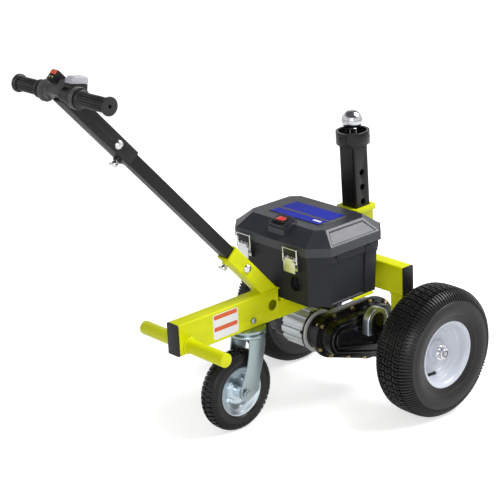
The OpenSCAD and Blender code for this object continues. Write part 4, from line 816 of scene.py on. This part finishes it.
# %% Column, bolts and clamping screws
for node in ("lower_tube", "upper_tube", "handlebar"):
    dress(node, black_paint, 0.5, 2)
for node, station, wide in (("socket_bolt", 104, 38.4), ("upper_bolt", 619, 37.4)):
    bm = bmesh.new()
    lathe(bm, [(0, 7.6), (3.6, 7.2), (7.2, 5.6), (9.6, 3.2), (10.8, 1.2), (11.2, 0.0), (0, 0)], 36,
          closed=False)
    lathe(bm, [(0, -3.8), (5, -3.8), (5, 0.2), (0, 0.2)], 24, closed=False)
    place = COLUMN @ shift(0, -wide / 2, station) @ turn(90, "X")
    finish_piece(node + "_domed", bm, place, bolt_steel, nodes[node]["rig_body"], (node,), 40)
for node, station, wide in (("socket_screw", 152, 38.4), ("upper_screw", 586, 37.4)):
    bm = bmesh.new()
    reach = (wide - 30) / 2 + 6 + 12
    rod(bm, 4.9, 0, reach - 4, segments=24)
    lathe(bm, [(0, reach - 9), (7.2, reach - 9), (7.8, reach - 8), (7.8, reach - 1), (6.6, reach + 0.6),
               (0, reach + 1)], 28, closed=False)
    bar = [(0, y, reach - 3.6 + 0.008 * y * y) for y in range(-14, 15, 2)]
    sweep(bm, bar, 3.2, 12)
    place = COLUMN @ shift(-15 - 0.15, 0, station) @ turn(-90, "Y")
    finish_piece(node + "_winged", bm, place, bolt_steel, nodes[node]["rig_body"], (node,), 40)

# %% [markdown]
# The grips are soft rubber with ribs that run along them, a wide flange at the end and a collar next to the
# controls. The ribs are thin rounded bars on a lathed sleeve, so they catch light as the real ones do.

# %% Grips
GRIP_END = 159.5


def ribbed_grip(name, node, flip, inner, sleeve):
    """inner is where the sleeve starts on the bar, and sleeve is the profile of its collar."""
    bm = bmesh.new()
    end = GRIP_END
    flange = [(13.8, end - 8), (17.6, end - 6.2), (19.6, end - 5), (20, end - 4), (20, end - 1.2), (19.2, end)]
    vent = [(4.4, end), (4.0, end - 0.6), (3.6, end - 2.5), (11.1, end - 2.6)]
    lathe(bm, [(11.1, inner)] + sleeve + flange + vent, 56)
    lying = shift(13.6, 0, 0) @ turn(-90, "Y") @ Matrix.Diagonal((1, 1, -1, 1))
    for i in range(18):
        add_plate(bm, upright(sleeve[-1][1] + 1.5, end - 7.4, -1.5, 1.5), 0, 2.4, 0.7, turn(20 * i, "Z") @ lying)
    bmesh.ops.recalc_face_normals(bm, faces=bm.faces)
    place = BAR @ (turn(180, "X") if flip else Matrix())
    return finish_piece(name, bm, place, grip_rubber, nodes[node]["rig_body"], (node,), 40)


ribbed_grip("left_ribbed_grip", "left_grip", False, 74.5, [
    (18.6, 74.5), (19.8, 75.3), (20, 76.4), (20, 79.6), (19.2, 80.6), (16.8, 81.4), (15.0, 83), (13.8, 84)])
ribbed_grip("throttle_ribbed_grip", "throttle_grip", True, 61.5, [
    (19.2, 61.5), (20, 62.3), (20, 66.2), (19, 67.4), (17.4, 68.2), (17.4, 72), (16.6, 73.2), (14.6, 76),
    (13.8, 78)])

# %% [markdown]
# The controls are moulded housings clamped round the bar: a flat faced head, a pod with the red stop button
# and two small lamps, and a cap over the meter. Their edges are rounder than those of the steel parts. The case
# at the throttle is drawn in a little, so that the rings round it stay within its real radius.

# %% Controls
CASE_R, CASE_DRAWN_R = 24.0, 22.992
BAR_METRES = MM @ BAR
share = CASE_DRAWN_R / CASE_R
case = dress("throttle_case", black_plastic, 1.3, 3)
case.data.transform(BAR_METRES @ Matrix.Diagonal((share, share, 1, 1)) @ BAR_METRES.inverted())
dress("control_head", head_plastic, 1.2, 3)
dress("switch_pod", black_plastic, 1.3, 3)
dress("display_cap", silver_plastic, 1.4, 3)
dress("stop_button", coral_plastic, 0.9, 3)
for word, low in (("left", 31.6), ("right", 22.4)):
    bm = bmesh.new()
    lathe(bm, [(0, 2.0), (1.4, 1.7), (2.3, 0.8), (2.5, 0), (0, 0)], 20, closed=False)
    place = BAR @ shift(18.5, -31.05, low) @ turn(90, "X")
    finish_piece("lamp_" + word, bm, place, cream_plastic, "upper_handle", ())
bm = bmesh.new()
for z0, z1, r in ((-60.6, -57.0, CASE_R - 0.2), (-55.6, -51.4, CASE_R), (-50.2, -48.4, CASE_R - 0.4)):
    lathe(bm, [(22, z0), (r - 0.8, z0), (r, z0 + 0.8), (r, z1 - 0.8), (r - 0.8, z1), (22, z1)], 56)
finish_piece("throttle_rings", bm, BAR, head_plastic, "upper_handle", (), 40)

# %% [markdown]
# The battery box is a moulded case. Its side walls are set back between corner columns, and the lid's side
# shoulders hold a sunk panel. Both are insets in a copy of the construction, pushed a little inwards. The
# switch in the photo is smaller than the construction's, so a small red cap lies on a black rocker.


# %% Battery box and lid
def wall_facing(bm, direction, least=0.9):
    facing = [f for f in bm.faces if f.normal.dot(direction) > least]
    return max((f for f in facing if f.calc_center_median().dot(direction) > 0.1), key=lambda f: f.calc_area())


def sunk_panel(bm, face, margin, depth):
    bmesh.ops.inset_individual(bm, faces=[face], thickness=margin * 0.001, depth=0.0)
    bmesh.ops.inset_individual(bm, faces=[face], thickness=depth * 0.0012, depth=-depth * 0.001)


def keep_flat(piece, least=0.0002):
    """Large faces keep a flat look, so that the breaks between a moulding's planes stay crisp."""
    for face in piece.data.polygons:
        if face.area > least:
            face.use_smooth = False


def world_direction(x, y, z):
    return (CHASSIS.to_3x3() @ Vector((x, y, z))).normalized()


bm = merged_copy("battery_box")
for hand in (1, -1):
    bm.faces.ensure_lookup_table()
    sunk_panel(bm, wall_facing(bm, world_direction(0, hand, -0.08)), 5, 3.0)
break_edges(bm, 0.0012, 3)
keep_flat(finish_piece("moulded_box", bm, MM.inverted(), box_plastic, "frame", ("battery_box",),
                       30))
bm = bmesh.new()
for hand in (1, -1):
    wall = shift(0, hand * 151.5, BOX_FLOOR) @ turn(90 - 2.85 * hand, "X") @ Matrix.Diagonal((1, 1, -hand, 1))
    for x0, x1, low, high, proud in ((38, 75, 5, 110, 0.8), (36, 77, 104, 127, 4.2), (-64, -42, 114, 127, 3.2)):
        add_plate(bm, upright(x0, x1, low, high), -3.6, proud, 1.0, wall)
bmesh.ops.recalc_face_normals(bm, faces=bm.faces)
finish_piece("box_columns_and_hooks", bm, BOX, box_plastic, "frame", (), 30)

bm = merged_copy("box_lid")
for hand in (1, -1):
    outwards = world_direction(0, hand, 0.85)
    shoulder = [f for f in bm.faces if f.normal.dot(outwards) > 0.95 and f.calc_area() > 0.002]
    for face in shoulder[:1]:
        sunk_panel(bm, face, 9, 2.4)
break_edges(bm, 0.0013, 3)
keep_flat(finish_piece("moulded_lid", bm, MM.inverted(), lid_plastic, "lid", ("box_lid",), 30))
KEEPER_X, KEEPER_LOW, KEEPER_HIGH = 127.3, 451, 467
bm = bmesh.new()
for y, facing in ((87, 180), (-75, 180), (-87, 0), (75, 0)):
    add_plate(bm, upright(-1, 3.2, -17, 17), KEEPER_LOW, KEEPER_HIGH, 0.8,
              shift(0, y, 0) @ turn(facing, "Z") @ shift(KEEPER_X, 0, 0))
finish_piece("latch_keepers", bm, BOX, black_plastic, "lid", (), 30)
dress("switch_bezel", lid_plastic, 0.9, 3)
dress("rocker", black_plastic, 0.8, 3)
SWITCH_X, SWITCH_Y, SWITCH_TILT = -90.16, -8, 18
SWITCH = BOX @ shift(SWITCH_X, SWITCH_Y, LID_TOP) @ turn(-SWITCH_TILT, "Y") @ shift(0, 0, 4)
bm = bmesh.new()
plate(bm, [(-8.5, 2), (8.5, 2), (8.5, 7.2), (0, 8), (-8.5, 10.8)], -12, 12)
break_edges(bm, 1.0, 3)
finish_piece("rocker_red_cap", bm, SWITCH @ turn(90, "X"), red_plastic, nodes["rocker"]["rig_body"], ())
dress("charge_port", black_plastic, 0.6, 2)

# %% [markdown]
# Over-centre latches hold the lid: a base plate with two ears, a folded lever and a wire bail. They are
# stainless sheet and wire, brushed along their height.

# %% Latches
dress("latch_bases", stainless, 0.35, 2)
for i in range(1, 5):
    dress("latch_lever_%d" % i, latch_steel, 0.45, 2)
    dress("latch_bail_%d" % i, bolt_steel, 0, 0)

# %% [markdown]
# Two thin panels stand for the stickers: plain fields of colour with nothing written on them. Each is a
# rounded plate a fraction of a millimetre thick, and its stripes lie on it.


# %% Plain panels
def panel(name, place, body, sheets):
    """sheets are (material, x, y, width, height, corner, level) on the panel's face."""
    for i, (material, x, y, width, height, corner, level) in enumerate(sheets):
        bm = bmesh.new()
        plate(bm, rounded(width, height, corner), 0.02 + 0.12 * level, 0.14 + 0.12 * level)
        finish_piece("%s_%d" % (name, i), bm, place @ shift(x, y, 0), material, body, (), 60)


beam_side = CHASSIS @ shift(-464.5, -BEAM_W / 2, 315) @ turn(90, "X")
panel("beam_panel", beam_side, "frame", [
    (white_label, 0, 0, 78, 62, 5, 0),
    (orange_label, 0, 23.4, 72, 10.6, 3, 1), (orange_label, 0, -6.2, 72, 10.6, 3, 1)])
lid_face = BOX @ shift(-3, -5, LID_TOP + 1.5)
panel("lid_panel", lid_face, "lid", [
    (blue_label, 0, 0, 88, 166, 2, 0), (dark_label, -12, 0, 9, 166, 0.8, 1),
    (white_label, -28, -62, 8, 26, 0.8, 1)])
print("box done")

# %% [markdown]
# The motor is an aluminium extrusion with broad cooling ribs between two end plates. A dark plate and a bare
# ring join it to the gearbox, and small bolts run round them.

# %% Motor
GEAR_LINE = math.radians(9.3)
MOTOR_REACH = 80.0 + 46.0 + 16.0
MOTOR_X, MOTOR_Z = -MOTOR_REACH * math.cos(GEAR_LINE), WHEEL_R + MOTOR_REACH * math.sin(GEAR_LINE)
MOTOR = sideways(MOTOR_X, MOTOR_Z, 1)
bm = bmesh.new()
lathe(bm, [(41.6, 10), (45.4, 10), (45.4, 87), (44.4, 88), (41.6, 88)], 72)
RIBS = 12
RIB = [(44.5, -9.6), (48.6, -8.6), (49.9, -7.2), (50.4, 0), (49.9, 7.2), (48.6, 8.6), (44.5, 9.6)]
for i in range(RIBS):
    add_plate(bm, RIB, 10, 87, 0.8, turn(360 / RIBS * i, "Z"), 2, 20)
finish_piece("motor_ribbed_shell", bm, MOTOR, motor_alloy, "frame", ("motor_housing",), 30)
bm = bmesh.new()
lathe(bm, [(40, 0.1), (53.4, 0.1), (54.6, 1.0), (54.6, 3.6), (53.8, 4.4), (40, 4.4)], 96)
finish_piece("motor_grey_ring", bm, MOTOR, ring_alloy, "frame", (), 40)
bm = bmesh.new()
lathe(bm, [(40, 4.5), (54.4, 4.5), (55, 5.1), (55, 9.6), (54.2, 10.2), (40, 10.2)], 96)
for i in range(6):
    add_hexagon(bm, 5.4, 4.3, 12.6, 0.5, turn(60 * i + 10, "Z") @ shift(53.6, 0, 0))
finish_piece("motor_dark_plate", bm, MOTOR, gloss_black, "frame", (), 40)
dress("motor_end_cover", gloss_black, 1.6, 3)

# %% [markdown]
# The gearbox is two halves of black painted casting, bolted round a flange. A raised loop stiffens the cover,
# and a grey cast arm hooks over its round boss. Castings have generous radii, so the bevels are wide.

# %% Gearbox
dress("gear_case", gloss_black, 1.2, 3)
dress("gear_cover", gloss_black, 1.2, 3)
dress("case_bolts", brass_zinc, 0.5, 2)
dress("axle_arm", cast_grey, 3.2, 4)


def gear_loop(r_motor, r_axle, steps=28):
    """The outline round two circles, from the axle at zero to the motor at +X."""
    lean = math.degrees(math.asin((r_axle - r_motor) / MOTOR_REACH))
    return (arc(0, 0, r_axle, 90 - lean, 270 + lean, steps)
            + arc(MOTOR_REACH, 0, r_motor, -90 + lean, 90 - lean, steps))


COVER = CHASSIS @ shift(0, 0, WHEEL_R) @ turn(90, "X") @ Matrix.Rotation(math.pi - GEAR_LINE, 4, "Z")
bm = bmesh.new()
sweep(bm, [(x, y, 79.2) for x, y in gear_loop(34, 52)], 2.6, 10, True)
sweep(bm, [(x, y, 82.4) for x, y in gear_loop(22, 30)], 1.9, 10, True)
for share in (0.2, 0.4, 0.6, 0.8):
    x = MOTOR_REACH * share
    reach = 64 - 24 * share
    for hand in (1, -1):
        add_plate(bm, upright(x - 1.8, x + 1.8, hand * (reach - 16), hand * (reach + 6)), 45.5, 76, 0.8)
finish_piece("cover_loop_and_ribs", bm, COVER, gloss_black, "frame", (), 40)
print("drive done")

# %% [markdown]
# The hitch ball is a chromed forging on a shank, with a hexagon under its neck. It stands in a cup on a
# square mast, which slides in the receiver and is pinned through one of its holes.

# %% Mast, collar and hitch ball
dress("mast", black_paint, 0.7, 2)
dress("mast_collar", gloss_black, 1.6, 3)
MAST_TOP = 4 + 283.5
BALL_Z, SEAT_Z = MAST_TOP + 32 + 26, MAST_TOP + 8
BALL_R = 25.4
BALL_FLAT = 0.92 * BALL_R
flat = math.degrees(math.acos(BALL_FLAT / BALL_R))
turns = [math.radians(flat + (148 - flat) * i / 22) for i in range(23)]
ball = [(0, BALL_Z + BALL_FLAT)] + [(BALL_R * math.sin(a), BALL_Z + BALL_R * math.cos(a)) for a in turns]
ball += [(13, BALL_Z - 24.5), (12.6, SEAT_Z + 12), (14, SEAT_Z + 9.6), (16, SEAT_Z + 9), (0, SEAT_Z + 9)]
bm = bmesh.new()
lathe(bm, ball, 72, closed=False)
add_hexagon(bm, 22, SEAT_Z, SEAT_Z + 9, 1.2)
rod(bm, 9.5, SEAT_Z - 26, SEAT_Z, segments=24)
finish_piece("chromed_ball", bm, POST, chrome, "hitch", ("hitch_ball",), 40)
dress("ball_nut", bolt_steel, 0.9, 2)

# %% [markdown]
# The pieces inside are seldom seen, but they move and come apart, so they get their own finish too.

# %% Inside
for node, material in (("battery", black_plastic), ("motor_rotor", laminated), ("idler_gear", machined),
                       ("axle_gear", machined)):
    repaint(node, material)

# %% [markdown]
# The stage is a pale floor and a soft studio. The world gives an even light, one broad lamp from above models
# the forms, and a weaker one fills the side. What shines mirrors a bright horizon under a dark ceiling, as in a
# real studio. The floor turns white for the camera only, a little more where the lamps fade, so it never lights
# the machine, and its shadow stays.

# %% Stage and light
FLOOR_SIZE = 30.0
bm = bmesh.new()
bmesh.ops.create_grid(bm, x_segments=1, y_segments=1, size=FLOOR_SIZE)
mesh = bpy.data.meshes.new("floor")
bm.to_mesh(mesh)
bm.free()
floor = bpy.data.objects.new("floor", mesh)
bpy.context.scene.collection.objects.link(floor)
ground = Paint("ground", roughness=0.9)
ground.colour((0.8, 0.8, 0.8, 1.0))
seen = ground.node("ShaderNodeLightPath")
mirrored = ground.node("ShaderNodeLightPath", out=3)
away = ground.node("ShaderNodeVectorMath", {"operation": "LENGTH"}, {0: ground.place()}, 1)
ground.feed(ground.shader.inputs["Emission Color"],
            ground.blend(away.ramp(1.5, 5.0), (0.84, 0.84, 0.84), (1.0, 1.0, 1.0)))
ground.feed(ground.shader.inputs["Emission Strength"], seen * 0.74 + mirrored * 0.24)
mesh.materials.append(ground.material)

world = bpy.data.worlds.new("studio")
bpy.context.scene.world = world
world.use_nodes = True
sky = world.node_tree.nodes["Background"]
sky.inputs["Color"].default_value = (1, 1, 1, 1)


def sky_node(kind, **settings):
    new = world.node_tree.nodes.new(kind)
    for key, value in settings.items():
        setattr(new, key, value)
    return new


def sky_sum(first, second, third):
    """first * second + third, where each is a number or a socket."""
    step = sky_node("ShaderNodeMath", operation="MULTIPLY_ADD")
    for socket, value in zip(step.inputs, (first, second, third)):
        if isinstance(value, float):
            socket.default_value = value
        else:
            world.node_tree.links.new(value, socket)
    return step.outputs[0]


path = sky_node("ShaderNodeLightPath")
height = sky_node("ShaderNodeSeparateXYZ")
world.node_tree.links.new(sky_node("ShaderNodeTexCoord").outputs["Generated"], height.inputs[0])
mirror = sky_node("ShaderNodeMapRange", clamp=True)
world.node_tree.links.new(height.outputs["Z"], mirror.inputs[0])
for socket, value in zip(list(mirror.inputs)[1:5], (0.3, 0.62, 0.6, -0.22)):
    socket.default_value = value
even = sky_sum(path.outputs["Is Glossy Ray"], mirror.outputs[0], 0.34)
world.node_tree.links.new(sky_sum(path.outputs["Is Camera Ray"], 0.66, even), sky.inputs["Strength"])


def lamp(name, place, aim, size, power):
    data = bpy.data.lights.new(name, "AREA")
    data.shape = "SQUARE"
    data.size = size
    data.energy = power
    light = bpy.data.objects.new(name, data)
    bpy.context.scene.collection.objects.link(light)
    light.location = place
    light.rotation_mode = "QUATERNION"
    light.rotation_quaternion = (Vector(aim) - Vector(place)).to_track_quat("-Z", "Y")
    return light


lamp("key_light", (2.0, -1.3, 3.3), (0, 0, 0.3), 2.2, 150)
lamp("side_light", (-2.7, -2.6, 1.7), (0, 0, 0.4), 1.8, 48)
bpy.context.scene.view_settings.view_transform = "Standard"
print("stage done")
